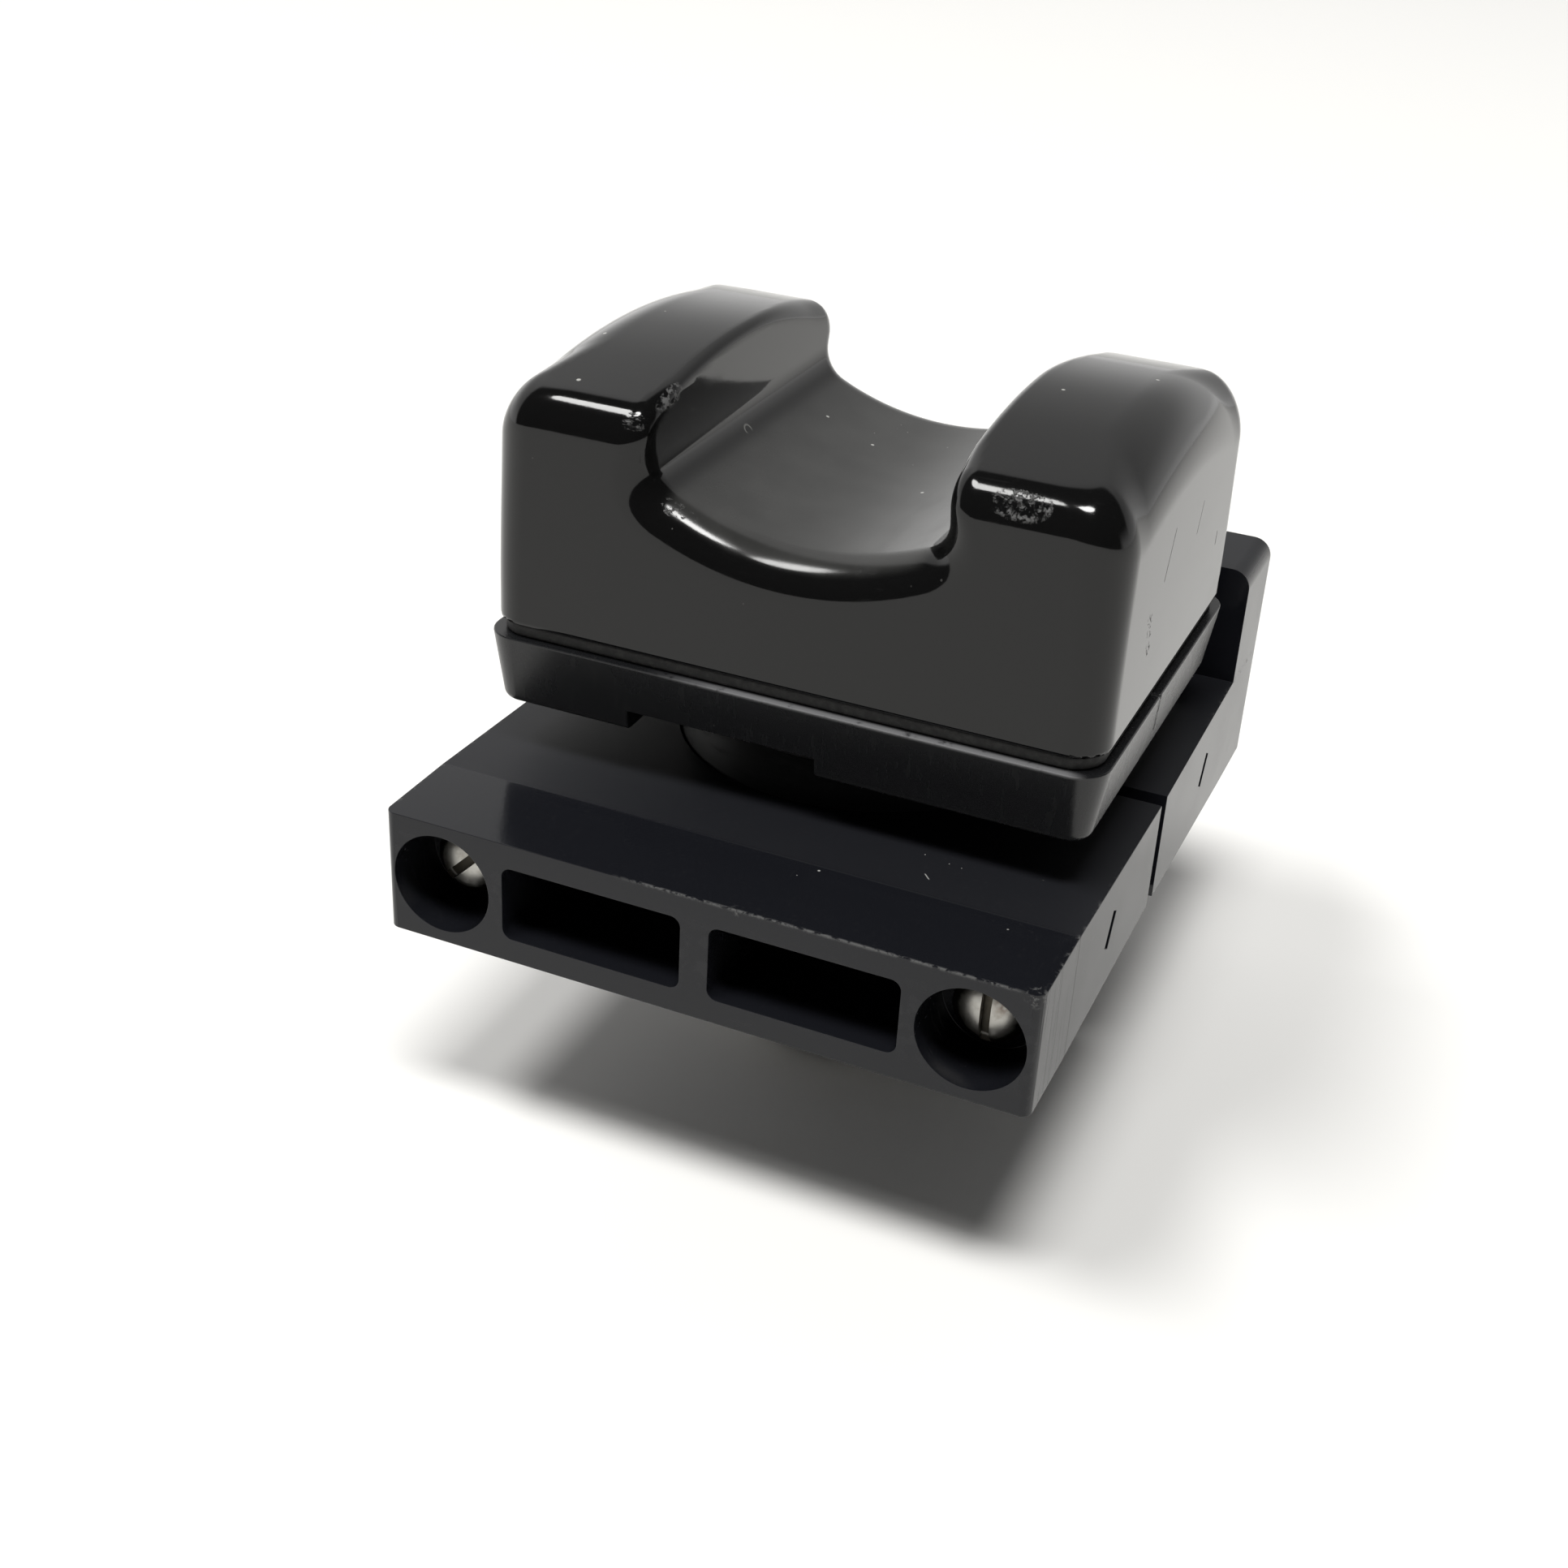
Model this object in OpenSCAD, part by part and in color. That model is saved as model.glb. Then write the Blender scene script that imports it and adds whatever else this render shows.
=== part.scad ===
// Optical touch switch held in a swivel-ball bracket.
// A finger laid in the valley between the two towers breaks an infrared beam.
// Millimetres. X runs along the bracket, Y towards its flange, Z up from the floor.
// The origin is on the floor under the ball. The switch stands on its connector.

/* [Bracket] */
// Width of both bracket halves and of the flange
bracket_width = 63.5; // [63.5:0.5:70]
// Depth over both halves, front face to the back of the flange
bracket_depth = 76.2; // [75:0.2:82]
// Thickness of the plate at its mould line
plate_thickness = 12.7; // [12:0.1:14]
// Height of the flange from the underside of the plate
flange_height = 25.4; // [24.6:0.2:27]
// Thickness of the flange
flange_thickness = 10.2; // [8:0.1:10.6]
// Open gap between the two halves
seam_gap = 2; // [1:0.1:3]
// Distance of the mould line from the front face
mould_line = 10; // [6:0.5:14]
// Thickness lost on each face of the plate at the seam
seam_draft = 0.65; // [0.2:0.05:1]
// Radius of the upright front corners
front_corner = 1; // [0.5:0.1:2.5]
// Radius of the two upper flange corners
flange_corner = 2; // [0.5:0.1:3]

/* [Cored pockets] */
// Width of one pocket
pocket_width = 18; // [12:0.1:18.3]
// Height of the pockets
pocket_height = 7.5; // [6:0.1:8.5]
// Depth of the pockets
pocket_depth = 15; // [8:0.5:15]
// Rib left between two pockets
pocket_rib = 2.8; // [2:0.1:4]

/* [Flange holes] */
// Diameter of the holes that fix the bracket to a machine
flange_hole_d = 7; // [5:0.1:7.4]
// Distance between the two holes
flange_hole_spacing = 50.8; // [46:0.2:52]
// Height of the holes above the underside of the plate
flange_hole_height = 20; // [18.6:0.1:20.2]

/* [Clamp screws] */
// Distance between the two clamp screws
clamp_spacing = 51.7; // [50.6:0.1:52]
// Diameter of the counterbores for the screw heads
counterbore_d = 10; // [9.2:0.1:10]
// Shank diameter of the screws
screw_d = 3.5; // [3:0.1:4]
// Length of the screws under the head
screw_length = 57.1; // [56:0.1:60]
// Diameter of the screw heads
head_d = 6.8; // [6.4:0.1:8]
// Distance of the head faces behind the front face
head_sink = 3.8; // [2:0.1:5]

/* [Ball] */
// Thickness of the swivel ball between its bore and its widest girth
ball_wall = 3.85; // [3.7:0.05:4.2]
// Height of the ball between its two flats
ball_height = 20.6; // [19.6:0.1:21]
// Clearance between the ball and its socket, on the radius
socket_clearance = 0.3; // [0.25:0.05:0.6]
// Clearance between the neck and the bore of the ball, on the radius
bore_clearance = 0.05; // [0.02:0.01:0.1]

/* [Base] */
// Distance the base stands out past the housing on every side
base_ledge = 0.4; // [0.1:0.05:0.6]
// Width the base loses on each side towards its bottom
base_draft = 0.6; // [0.1:0.05:1]
// Height of the base
base_height = 7.15; // [6.4:0.05:8]
// Radius of the upright corners of the base
base_corner = 3.2; // [2.8:0.1:5]
// Radius of the lower edge of the base
base_edge = 0.8; // [0.4:0.1:1.6]
// Diameter of the threaded neck
neck_d = 30; // [28:0.1:30.4]
// Reach of the neck below the flat of the ball
neck_thread = 7.2; // [6.6:0.1:9]
// Left end of the recess under the front rim, measured from the middle
recess_left = 15.3; // [10:0.1:18]
// Right end of that recess, measured from the middle
recess_right = 3.7; // [2:0.1:18]
// Depth of that recess
recess_depth = 2.1; // [1:0.1:2.2]

/* [Housing] */
// Width of the upper housing
housing_width = 60.3; // [56:0.1:61]
// Depth of the upper housing
housing_depth = 44.4; // [43:0.1:44.6]
// Height of the housing at the crest of its towers
housing_height = 25.4; // [24.4:0.1:28]
// Height of the open groove between base and housing
groove = 1.3; // [0.8:0.1:2]
// Radius of the rolled edges
edge_roll = 2.5; // [2:0.1:3]
// Radius of the outer upper edges of the towers
outer_edge = 6.4; // [4:0.1:7]
// Radius of the inner upper edges of the towers
inner_edge = 1.1; // [0.8:0.1:3.6]
// Radius of the arch on top of the towers, seen from the side
arch_radius = 77; // [60:1:110]
// Distance of the crest in front of the middle
crest_offset = 1; // [0:0.1:4]
// Lean of each outer side over its height
side_lean = 0.2; // [0.1:0.1:1.2]
// Half width of the valley
valley_half = 13.9; // [13:0.1:14]
// Height of the valley floor above the lower edge of the housing
valley_floor = 12.4; // [12:0.1:14]
// Radius of the valley floor
valley_radius = 28; // [25:0.5:34]
// Radius between valley floor and wall
valley_corner = 3.5; // [2.5:0.1:4.5]
// Wall thickness of the housing
housing_wall = 2.6; // [2.4:0.1:2.7]

/* [Connector] */
// Diameter of the threaded connector shell
connector_d = 22.2; // [21:0.1:22.2]
// Distance from the centre of the ball down to the end of the connector
connector_drop = 27.5; // [27:0.1:32]
// Number of contact pins
pin_count = 5; // [3:1:5]
// Radius of the pin circle
pin_circle = 4.9; // [4.6:0.1:5.6]

/* [Hidden] */
SMOOTH = 64;
CORNER = 32;
// Small step past a face, so that cuts go right through
PAST = 1;
// Height of the ball's centre above the floor
ball_z = connector_drop;
half_width = bracket_width / 2;
half_depth = bracket_depth / 2;
plate_bottom = ball_z - plate_thickness / 2;
plate_top = ball_z + plate_thickness / 2;
flange_top = plate_bottom + flange_height;
flange_front = half_depth - flange_thickness;
// The clamp screws and pockets lie at the middle height of the plate
clamp_z = plate_bottom + plate_thickness / 2;
head_height = 2.1;
washer_height = 0.9;
screw_clearance = 0.2;
// Faces of the clamp hardware along Y
head_under = -half_depth + head_sink + head_height;
counterbore_floor = head_under + washer_height;
screw_end = head_under + screw_length;
nut_height = 2.8;
nut_flats = 7.9;
nut_past = 0.9;
nut_seat = screw_end - nut_past - nut_height;
nut_pocket_flats = nut_flats + 0.3;
// Slots of the screw heads, turned as the screws were left
slot_turn = [45, 90];
// Small slits in the sides of both halves
slit_y = [-16.3, 18.3];
slit_size = [1.2, 3.6];
slit_depth = 1.5;
slit_tilt = 27;
slit_lift = 0.3;
pocket_corner = 1;
slot_width = 0.9;
slot_depth = 1;
// Distance of the centre of the screw heads' domes behind the undersides of the heads
dome_centre = 1.6;
dome_rise = 2;
washer_margin = 0.1;
washer_slit = 0.5;
washer_pitch = 20;

// Levels of the ball and the neck
ball_flat = ball_height / 2;
end_play = 0.15;
neck_seal_height = 0.7;
neck_r = neck_d / 2;
ball_bore_r = neck_r + bore_clearance;
ball_d = 2 * (ball_bore_r + ball_wall);
base_bottom = ball_z + ball_flat + end_play + neck_seal_height;
base_top = base_bottom + base_height;
base_width = housing_width + 2 * base_ledge;
base_depth = housing_depth + 2 * base_ledge;
base_floor = 3.4;
neck_seal_width = 2.3;
washer_top = ball_z - ball_flat - end_play;
lock_washer_height = 1;
lock_washer_play = 0.2;
lock_washer_width = 3.5;
tooth_gap = [1.6, 2];
lock_nut_top = washer_top - lock_washer_height;
lock_nut_height = 5;
lock_nut_flats = 36;
// How far the sphere that rounds off the nut's corners reaches past its flats at mid height
lock_nut_round = 3;
neck_end = ball_z - ball_flat - neck_thread;
thread_depth = 0.9;
thread_pitch = 1.5;
neck_bore_r = neck_r - 3.7;

// Levels and chambers of the housing
housing_bottom = base_top + groove;
housing_top = housing_bottom + housing_height;
floor_z = housing_bottom + valley_floor;
chamber_half = [housing_width / 2 - housing_wall, housing_depth / 2 - housing_wall];
chamber_top = floor_z - housing_wall;
tower_inner = valley_half + housing_wall;
// The towers' chambers stay clear of the arch and of the round outer edges
tower_half = chamber_half[1] - 3;
tower_outer = chamber_half[0] - 2;
tower_top = housing_top - housing_wall - 1.6;
housing_corner = base_corner + 0.5;
lip_gap = 0.1;
lip_wall = 2;
lip_top = housing_bottom + 1;
groove_set_back = 0.5;

// Circuit boards and what they carry
board_height = 1.6;
board_margin = 0.5;
board_half = [chamber_half[0] - board_margin, chamber_half[1] - board_margin];
board_top = lip_top + board_height;
// Middle plane of the upright boards, measured from the towers' inner walls
diode_room = 4.4;
tower_board_x = tower_inner + diode_room;
tower_board_half = 12;
tower_board_top = tower_top - 1;
diode_d = 5;
diode_rim = 0.4;
diode_length = 4.1;
beam_height = 5.5;
beam_z = floor_z + beam_height;
header_size = [2.5, 12.7, 2.5];
// Controller chip: middle on the board, body, then its legs
chip_at = [-7, 6];
chip_body = [10.3, 7.5, 2.4];
chip_stand_off = 0.1;
leg_pitch = 1.27;
leg_size = [0.45, 1.5, 0.9];
leg_lap = 0.15;
// Output transistors: middle of the first on the board, body, then the tab
transistor_at = [9, 9];
transistor_body = [6.1, 6.5, 2.3];
tab_size = [1.6, 5.2, 0.5];
tab_lap = 0.35;
// Capacitors: middles on the board, can, then the foot
capacitor_at = [[-10, -9], [-1, -9]];
can_d = 6.3;
can_top = 5.8;
can_bottom = 0.8;
can_foot = [6.6, 6.6, 0.9];

// Connector
shell_r = connector_d / 2;
shell_wall = 2.2;
cup_r = shell_r - shell_wall;
plug_length = 6;
plug_top = neck_end + plug_length;
plug_play = 0.2;
shoulder_height = 1.6;
shell_chamfer = 0.6;
// Relief above the thread, where the sealing ring sits
relief_r = shell_r - 0.6;
relief_height = 1.2;
relief_bottom = neck_end - shoulder_height - relief_height;
shoulder_width = 2.3;
shoulder_r = shell_r + shoulder_width;
cup_depth = 7.5;
insert_bottom = cup_depth;
insert_sink = 0.5;
insert_top = plug_top - insert_sink;
// Key in the cup that turns the mating plug the right way
key_bottom = 3;
key_width = 1.6;
key_lap = 1;
pin_r = 1.2;
pin_tip = 1.5;
pin_tail = 2.5;
pin_top = insert_top + pin_tail;
wire_r = 0.7;
wire_clearance = 0.05;
potting_reach = 8;
potting_top = ball_z + potting_reach;
ring_play = 0.05;
ring_section = 1;
// Rolled edges pass this far beyond the faces they join, so that the solids cross
CROSSING = 0.03;
// The valley's corner circles pass the arc of its floor by this much, so that the two cross
CORNER_STEP = 0.04;

BLACK = [0.1, 0.1, 0.11];
GLOSS = [0.04, 0.04, 0.045];
STEEL = [0.72, 0.72, 0.7];
RUBBER = [0.06, 0.06, 0.06];
BOARD = [0.1, 0.32, 0.2];

function arc(centre, r, from, to, steps) =
    [for (i = [0:steps])
        let (angle = from + (to - from) * i / steps)
            centre + r * [cos(angle), sin(angle)]];

// A rectangle about the origin with rounded corners
module rounded(size, r, fn = SMOOTH) {
    square([size[0] - 2 * r, size[1]], center = true);
    square([size[0], size[1] - 2 * r], center = true);
    for (x = [-1, 1], y = [-1, 1])
        translate([x * (size[0] / 2 - r), y * (size[1] / 2 - r)])
            circle(r, $fn = fn);
}

// Turns a shape that was drawn upwards so that it runs along +Y from y
module along_y(x, y, z) {
    translate([x, y, z])
        rotate([-90, 0, 0])
            children();
}

module ring(outer, inner, bottom, height) {
    translate([0, 0, bottom])
        difference() {
            cylinder(h = height, r = outer, $fn = SMOOTH);
            translate([0, 0, -PAST])
                cylinder(h = height + 2 * PAST, r = inner, $fn = SMOOTH);
        }
}

// A solid bar with rings in place of a thread
module thread_bar(crest, depth, pitch, bottom, top) {
    count = floor((top - bottom) / pitch);
    rotate_extrude($fn = SMOOTH)
        polygon(concat([[0, bottom]],
            [for (i = [0:count - 1])
                each [[crest - depth, bottom + i * pitch], [crest, bottom + (i + 0.5) * pitch]]],
            [[crest - depth, bottom + count * pitch], [crest - depth, top], [0, top]]));
}

module at_clamps() {
    for (side = [0, 1])
        translate([(side - 0.5) * clamp_spacing, 0, 0])
            children();
}

// The pair of cored pockets, cut from the face at y towards the ball
module pockets(y, way) {
    for (side = [-1, 1])
        translate([side * (pocket_rib + pocket_width) / 2, y + way * (pocket_depth - PAST) / 2, clamp_z])
            rotate([90, 0, 0])
                linear_extrude(pocket_depth + PAST, center = true)
                    rounded([pocket_width, pocket_height], pocket_corner);
}

module socket() {
    translate([0, 0, ball_z])
        sphere(ball_d / 2 + socket_clearance, $fn = 96);
}

module slit(y) {
    for (side = [-1, 1])
        translate([side * half_width, y, clamp_z + slit_lift])
            rotate([-slit_tilt, 0, 0])
                cube([2 * slit_depth, slit_size[0], slit_size[1]], center = true);
}

module bracket_front() {
    seam = -seam_gap / 2;
    mould = -half_depth + mould_line;
    color(BLACK)
        difference() {
            intersection() {
                translate([half_width, 0, 0])
                    rotate([0, -90, 0])
                        linear_extrude(bracket_width)
                            polygon([[plate_bottom + 0.1, -half_depth], [plate_bottom, mould],
                                [plate_bottom + seam_draft, seam], [plate_top - seam_draft, seam],
                                [plate_top, mould], [plate_top - 0.1, -half_depth]]);
                translate([0, 0, plate_bottom - PAST])
                    linear_extrude(plate_thickness + 2 * PAST)
                        rounded([bracket_width, bracket_depth], front_corner);
            }
            socket();
            pockets(-half_depth, 1);
            slit(slit_y[0]);
            at_clamps() {
                along_y(0, -half_depth - PAST, clamp_z)
                    cylinder(h = counterbore_floor + half_depth + PAST, d = counterbore_d, $fn = SMOOTH);
                along_y(0, -half_depth, clamp_z)
                    cylinder(h = half_depth, r = screw_d / 2 + screw_clearance, $fn = SMOOTH);
            }
        }
}

module bracket_rear() {
    seam = seam_gap / 2;
    color(BLACK)
        difference() {
            intersection() {
                translate([half_width, 0, 0])
                    rotate([0, -90, 0])
                        linear_extrude(bracket_width)
                            polygon([[plate_bottom + seam_draft, seam], [plate_bottom, flange_front],
                                [plate_bottom, half_depth], [flange_top, half_depth],
                                [flange_top, flange_front], [plate_top, flange_front],
                                [plate_top - seam_draft, seam]]);
                along_y(0, 0, flange_top - bracket_width / 2)
                    linear_extrude(half_depth)
                        rounded([bracket_width, bracket_width], flange_corner);
            }
            socket();
            pockets(half_depth, -1);
            slit(slit_y[1]);
            for (side = [-1, 1])
                along_y(side * flange_hole_spacing / 2, flange_front - PAST, plate_bottom + flange_hole_height)
                    cylinder(h = flange_thickness + 2 * PAST, d = flange_hole_d, $fn = SMOOTH);
            at_clamps() {
                along_y(0, 0, clamp_z)
                    cylinder(h = half_depth, r = screw_d / 2 + screw_clearance, $fn = SMOOTH);
                along_y(0, nut_seat, clamp_z)
                    cylinder(h = half_depth, d = nut_pocket_flats / cos(30), $fn = 6);
            }
        }
}

// Slotted pan-head screws that draw the two halves together on the ball
module clamp_screws() {
    color(STEEL)
        for (side = [0, 1])
            along_y((side - 0.5) * clamp_spacing, head_under, clamp_z)
                difference() {
                    union() {
                        cylinder(h = screw_length, d = screw_d, $fn = SMOOTH);
                        intersection() {
                            translate([0, 0, -head_height])
                                cylinder(h = head_height, d = head_d, $fn = SMOOTH);
                            translate([0, 0, dome_centre])
                                sphere(head_height + dome_rise, $fn = SMOOTH);
                        }
                    }
                    translate([0, 0, -head_height])
                        rotate([0, 0, slot_turn[side]])
                            cube([2 * head_d, slot_width, 2 * slot_depth], center = true);
                }
}

module clamp_washers() {
    color(STEEL)
        at_clamps()
            along_y(0, head_under, clamp_z)
                difference() {
                    ring(head_d / 2 - washer_margin, screw_d / 2 + screw_clearance, 0, washer_height);
                    translate([head_d / 4, 0, washer_height / 2])
                        rotate([washer_pitch, 0, 0])
                            cube([head_d / 2, washer_slit, 2 * washer_height], center = true);
                }
}

module clamp_nuts() {
    color(STEEL)
        at_clamps()
            along_y(0, nut_seat, clamp_z)
                difference() {
                    cylinder(h = nut_height, d = nut_flats / cos(30), $fn = 6);
                    translate([0, 0, -PAST])
                        cylinder(h = nut_height + 2 * PAST, r = screw_d / 2 + bore_clearance, $fn = SMOOTH);
                }
}

module swivel_ball() {
    color(BLACK)
        translate([0, 0, ball_z])
            difference() {
                intersection() {
                    sphere(ball_d / 2, $fn = 96);
                    cube([ball_d + PAST, ball_d + PAST, ball_height], center = true);
                }
                cylinder(h = ball_height + 2 * PAST, r = ball_bore_r, center = true, $fn = 96);
            }
}

// Tub with a rolled lower edge, an inner lip for the housing and the neck moulded on
module base() {
    roll = [base_width / 2 - base_corner, base_depth / 2 - base_corner];
    color(BLACK)
        difference() {
            union() {
                hull()
                    for (x = [-1, 1], y = [-1, 1])
                        translate([x * roll[0], y * roll[1], base_bottom])
                            rotate_extrude($fn = CORNER)
                                polygon(concat([[0, 0]],
                                    arc([base_corner - base_draft - base_edge, base_edge],
                                        base_edge, -90, 0, 6),
                                    [[base_corner, base_height], [0, base_height]]));
                translate([0, 0, base_top - PAST])
                    linear_extrude(lip_top - base_top + PAST)
                        rounded(2 * chamber_half - 2 * [lip_gap, lip_gap], base_corner / 2);
                translate([0, 0, lock_nut_top])
                    cylinder(h = base_bottom + PAST - lock_nut_top, r = neck_r, $fn = 96);
                thread_bar(neck_r, thread_depth, thread_pitch, neck_end, lock_nut_top + PAST);
            }
            translate([0, 0, base_bottom + base_floor])
                linear_extrude(lip_top)
                    rounded(2 * chamber_half - 2 * [lip_wall, lip_wall], 1);
            translate([0, 0, neck_end - PAST])
                cylinder(h = base_top - neck_end, r = neck_bore_r, $fn = SMOOTH);
            translate([-recess_left, -base_depth / 2 - PAST, base_bottom - PAST])
                cube([recess_left + recess_right, base_depth / 2 - neck_r - 2, recess_depth + PAST]);
        }
}

// Soft seal in the open groove between base and housing
module housing_seal() {
    color(RUBBER)
        translate([0, 0, base_top])
            linear_extrude(groove)
                difference() {
                    rounded([housing_width, housing_depth] - 2 * [groove_set_back, groove_set_back],
                        housing_corner - groove_set_back);
                    rounded(2 * chamber_half, base_corner / 2);
                }
}

// A circle with the wedge of a larger one that runs from it to the other side
module wedge(radius, points) {
    intersection() {
        circle(radius, $fn = 160);
        polygon([[0, 0], 2 * radius * points[0] / norm(points[0]), 2 * radius * points[1] / norm(points[1])]);
    }
}

// The arch over the towers from the side, its ends rolled down to the faces. Y, then Z
module side_outline() {
    reach = housing_depth / 2;
    low = housing_bottom - PAST;
    centre = [-crest_offset, housing_top - arch_radius];
    radius = arch_radius + CROSSING;
    ends = [for (way = [-1, 1]) let (y = way * (reach - edge_roll))
        [y, centre[1] + sqrt(pow(radius - edge_roll, 2) - pow(y - centre[0], 2))]];
    translate(centre)
        wedge(radius, [ends[0] - centre, ends[1] - centre]);
    for (end = ends)
        translate(end)
            circle(edge_roll, $fn = SMOOTH);
    polygon([[-reach, low], [reach, low], [reach, ends[1][1]], ends[1], ends[0], [-reach, ends[0][1]]]);
}

// Section of one tower on its way along the arch. Distance from the arch's centre, then X
module tower_section() {
    hub = arch_radius - housing_height - PAST;
    top_side = housing_width / 2 - side_lean;
    outer = [arch_radius - outer_edge, top_side - outer_edge];
    inner = [arch_radius - inner_edge, valley_half + inner_edge];
    translate(outer)
        circle(outer_edge, $fn = SMOOTH);
    translate(inner)
        circle(inner_edge, $fn = SMOOTH);
    polygon([[hub, 0], [inner[0], 0], inner, [arch_radius, inner[1]], [arch_radius, outer[1]], outer,
        [outer[0], top_side], [hub, housing_width / 2]]);
}

// Centre of the left or right corner between valley floor and wall, from the floor's centre
function corner_drop() = sqrt(pow(valley_radius - valley_corner, 2) - pow(valley_half - valley_corner, 2));
function corner_turn() = atan2(corner_drop(), valley_half - valley_corner);

// Outline of the valley about the centre of its floor
module valley_outline(grow) {
    corner = [valley_half - valley_corner, -corner_drop()];
    wedge(valley_radius + grow, [corner, [-corner[0], corner[1]]]);
    for (side = [-1, 1])
        translate([side * corner[0], corner[1]])
            circle(valley_corner + grow + CORNER_STEP, $fn = SMOOTH);
    translate([-valley_half - grow, corner[1]])
        square([2 * (valley_half + grow), valley_radius]);
}

// What is cut off where a face meets a surface of that radius. Radius, then depth
module lip_section(radius) {
    difference() {
        translate([radius - 0.5, -0.5])
            square(edge_roll + 0.5);
        translate([radius + edge_roll, edge_roll])
            circle(edge_roll + CROSSING, $fn = SMOOTH);
    }
}

// Rolls the lip of the valley at the front face
module lip() {
    corner = [valley_half - valley_corner, corner_drop()];
    // The floor's piece and the corners' pieces lap each other by these turns
    floor_lap = 1;
    corner_lap = 3;
    along_y(0, -housing_depth / 2, floor_z + valley_radius) {
        rotate([0, 0, corner_turn() - floor_lap])
            rotate_extrude(angle = 180 - 2 * (corner_turn() - floor_lap), $fn = 160)
                lip_section(valley_radius);
        for (side = [0, 1])
            mirror([side, 0, 0])
                translate([corner[0], corner[1], 0]) {
                    rotate([0, 0, -corner_lap])
                        rotate_extrude(angle = corner_turn() + 2 * corner_lap, $fn = SMOOTH)
                            lip_section(valley_corner);
                    translate([valley_corner, 0, 0])
                        rotate([90, 0, 0])
                            linear_extrude(valley_radius)
                                lip_section(0);
                }
    }
}

// One glossy moulding that lets the infrared beam through
module upper_housing() {
    color(GLOSS)
        difference() {
            intersection() {
                translate([0, -crest_offset, housing_top - arch_radius])
                    rotate([0, 90, 0])
                        rotate_extrude($fn = 160) {
                            tower_section();
                            mirror([0, 1])
                                tower_section();
                        }
                rotate([90, 0, 90])
                    linear_extrude(housing_width + 2 * PAST, center = true)
                        side_outline();
                translate([0, 0, housing_bottom])
                    linear_extrude(housing_height + PAST)
                        rounded([housing_width, housing_depth], housing_corner);
            }
            translate([0, 0, floor_z + valley_radius])
                rotate([90, 0, 0])
                    linear_extrude(2 * housing_depth, center = true)
                        valley_outline(CROSSING);
            lip();
            mirror([0, 1, 0])
                lip();
            translate([0, 0, housing_bottom - PAST])
                linear_extrude(chamber_top - housing_bottom + PAST)
                    rounded(2 * chamber_half, base_corner / 2);
            for (side = [0, 1])
                translate([side * (tower_outer + tower_inner) - tower_outer, -tower_half, chamber_top - PAST])
                    cube([tower_outer - tower_inner, 2 * tower_half, tower_top - chamber_top + PAST]);
        }
}

module neck_seal() {
    color(RUBBER)
        ring(neck_r + neck_seal_width, neck_r, base_bottom - neck_seal_height, neck_seal_height);
}

module lock_washer() {
    color(STEEL)
        difference() {
            ring(neck_r + lock_washer_width, neck_r + lock_washer_play, lock_nut_top, lock_washer_height);
            for (turn = [0:30:330])
                rotate([0, 0, turn])
                    translate([neck_r + lock_washer_width, 0, lock_nut_top + lock_washer_height / 2])
                        cube([tooth_gap[0], tooth_gap[1], 2 * lock_washer_height], center = true);
        }
}

module lock_nut() {
    color(BLACK)
        translate([0, 0, lock_nut_top - lock_nut_height])
            difference() {
                intersection() {
                    cylinder(h = lock_nut_height, d = lock_nut_flats / cos(30), $fn = 6);
                    translate([0, 0, lock_nut_height / 2])
                        sphere(lock_nut_flats / 2 + lock_nut_round, $fn = 96);
                }
                translate([0, 0, -PAST])
                    cylinder(h = lock_nut_height + 2 * PAST, r = neck_r + bore_clearance, $fn = 96);
            }
}

// Threaded shell of the quick-disconnect connector, open at the bottom. Its thread is drawn
// as a plain cylinder of the thread's outer diameter
module connector_shell() {
    color(STEEL)
        difference() {
            union() {
                cylinder(h = shell_chamfer, r1 = shell_r - shell_chamfer, r2 = shell_r, $fn = SMOOTH);
                translate([0, 0, shell_chamfer])
                    cylinder(h = relief_bottom - shell_chamfer, r = shell_r, $fn = SMOOTH);
                cylinder(h = neck_end - shoulder_height, r = relief_r, $fn = SMOOTH);
                translate([0, 0, neck_end - shoulder_height])
                    cylinder(h = shoulder_height, r = shoulder_r, $fn = SMOOTH);
                translate([0, 0, neck_end - PAST])
                    cylinder(h = plug_top - neck_end + PAST, r = neck_bore_r - plug_play, $fn = SMOOTH);
            }
            translate([0, 0, -PAST])
                cylinder(h = plug_top + 2 * PAST, r = cup_r, $fn = SMOOTH);
        }
}

module connector_seal() {
    color(RUBBER)
        translate([0, 0, neck_end - shoulder_height - ring_section])
            rotate_extrude($fn = SMOOTH)
                translate([relief_r + ring_section / 2 + ring_play, ring_section / 2])
                    circle(d = ring_section, $fn = CORNER);
}

module at_pins() {
    for (i = [0:pin_count - 1])
        rotate([0, 0, 90 + i * 360 / pin_count])
            translate([pin_circle, 0, 0])
                children();
}

module connector_insert() {
    color(RUBBER)
        difference() {
            union() {
                translate([0, 0, insert_bottom])
                    cylinder(h = insert_top - insert_bottom, r = cup_r - wire_clearance, $fn = SMOOTH);
                translate([-key_width / 2, 2 * wire_clearance - cup_r, key_bottom])
                    cube([key_width, key_width, insert_bottom - key_bottom + key_lap]);
            }
            at_pins()
                translate([0, 0, insert_bottom - PAST])
                    cylinder(h = insert_top, r = pin_r + wire_clearance, $fn = CORNER);
        }
}

module connector_pins() {
    color(STEEL)
        at_pins()
            union() {
                translate([0, 0, pin_tip + pin_r])
                    cylinder(h = pin_top - pin_tip - pin_r, r = pin_r, $fn = CORNER);
                translate([0, 0, pin_tip + pin_r])
                    sphere(pin_r, $fn = CORNER);
            }
}

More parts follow.
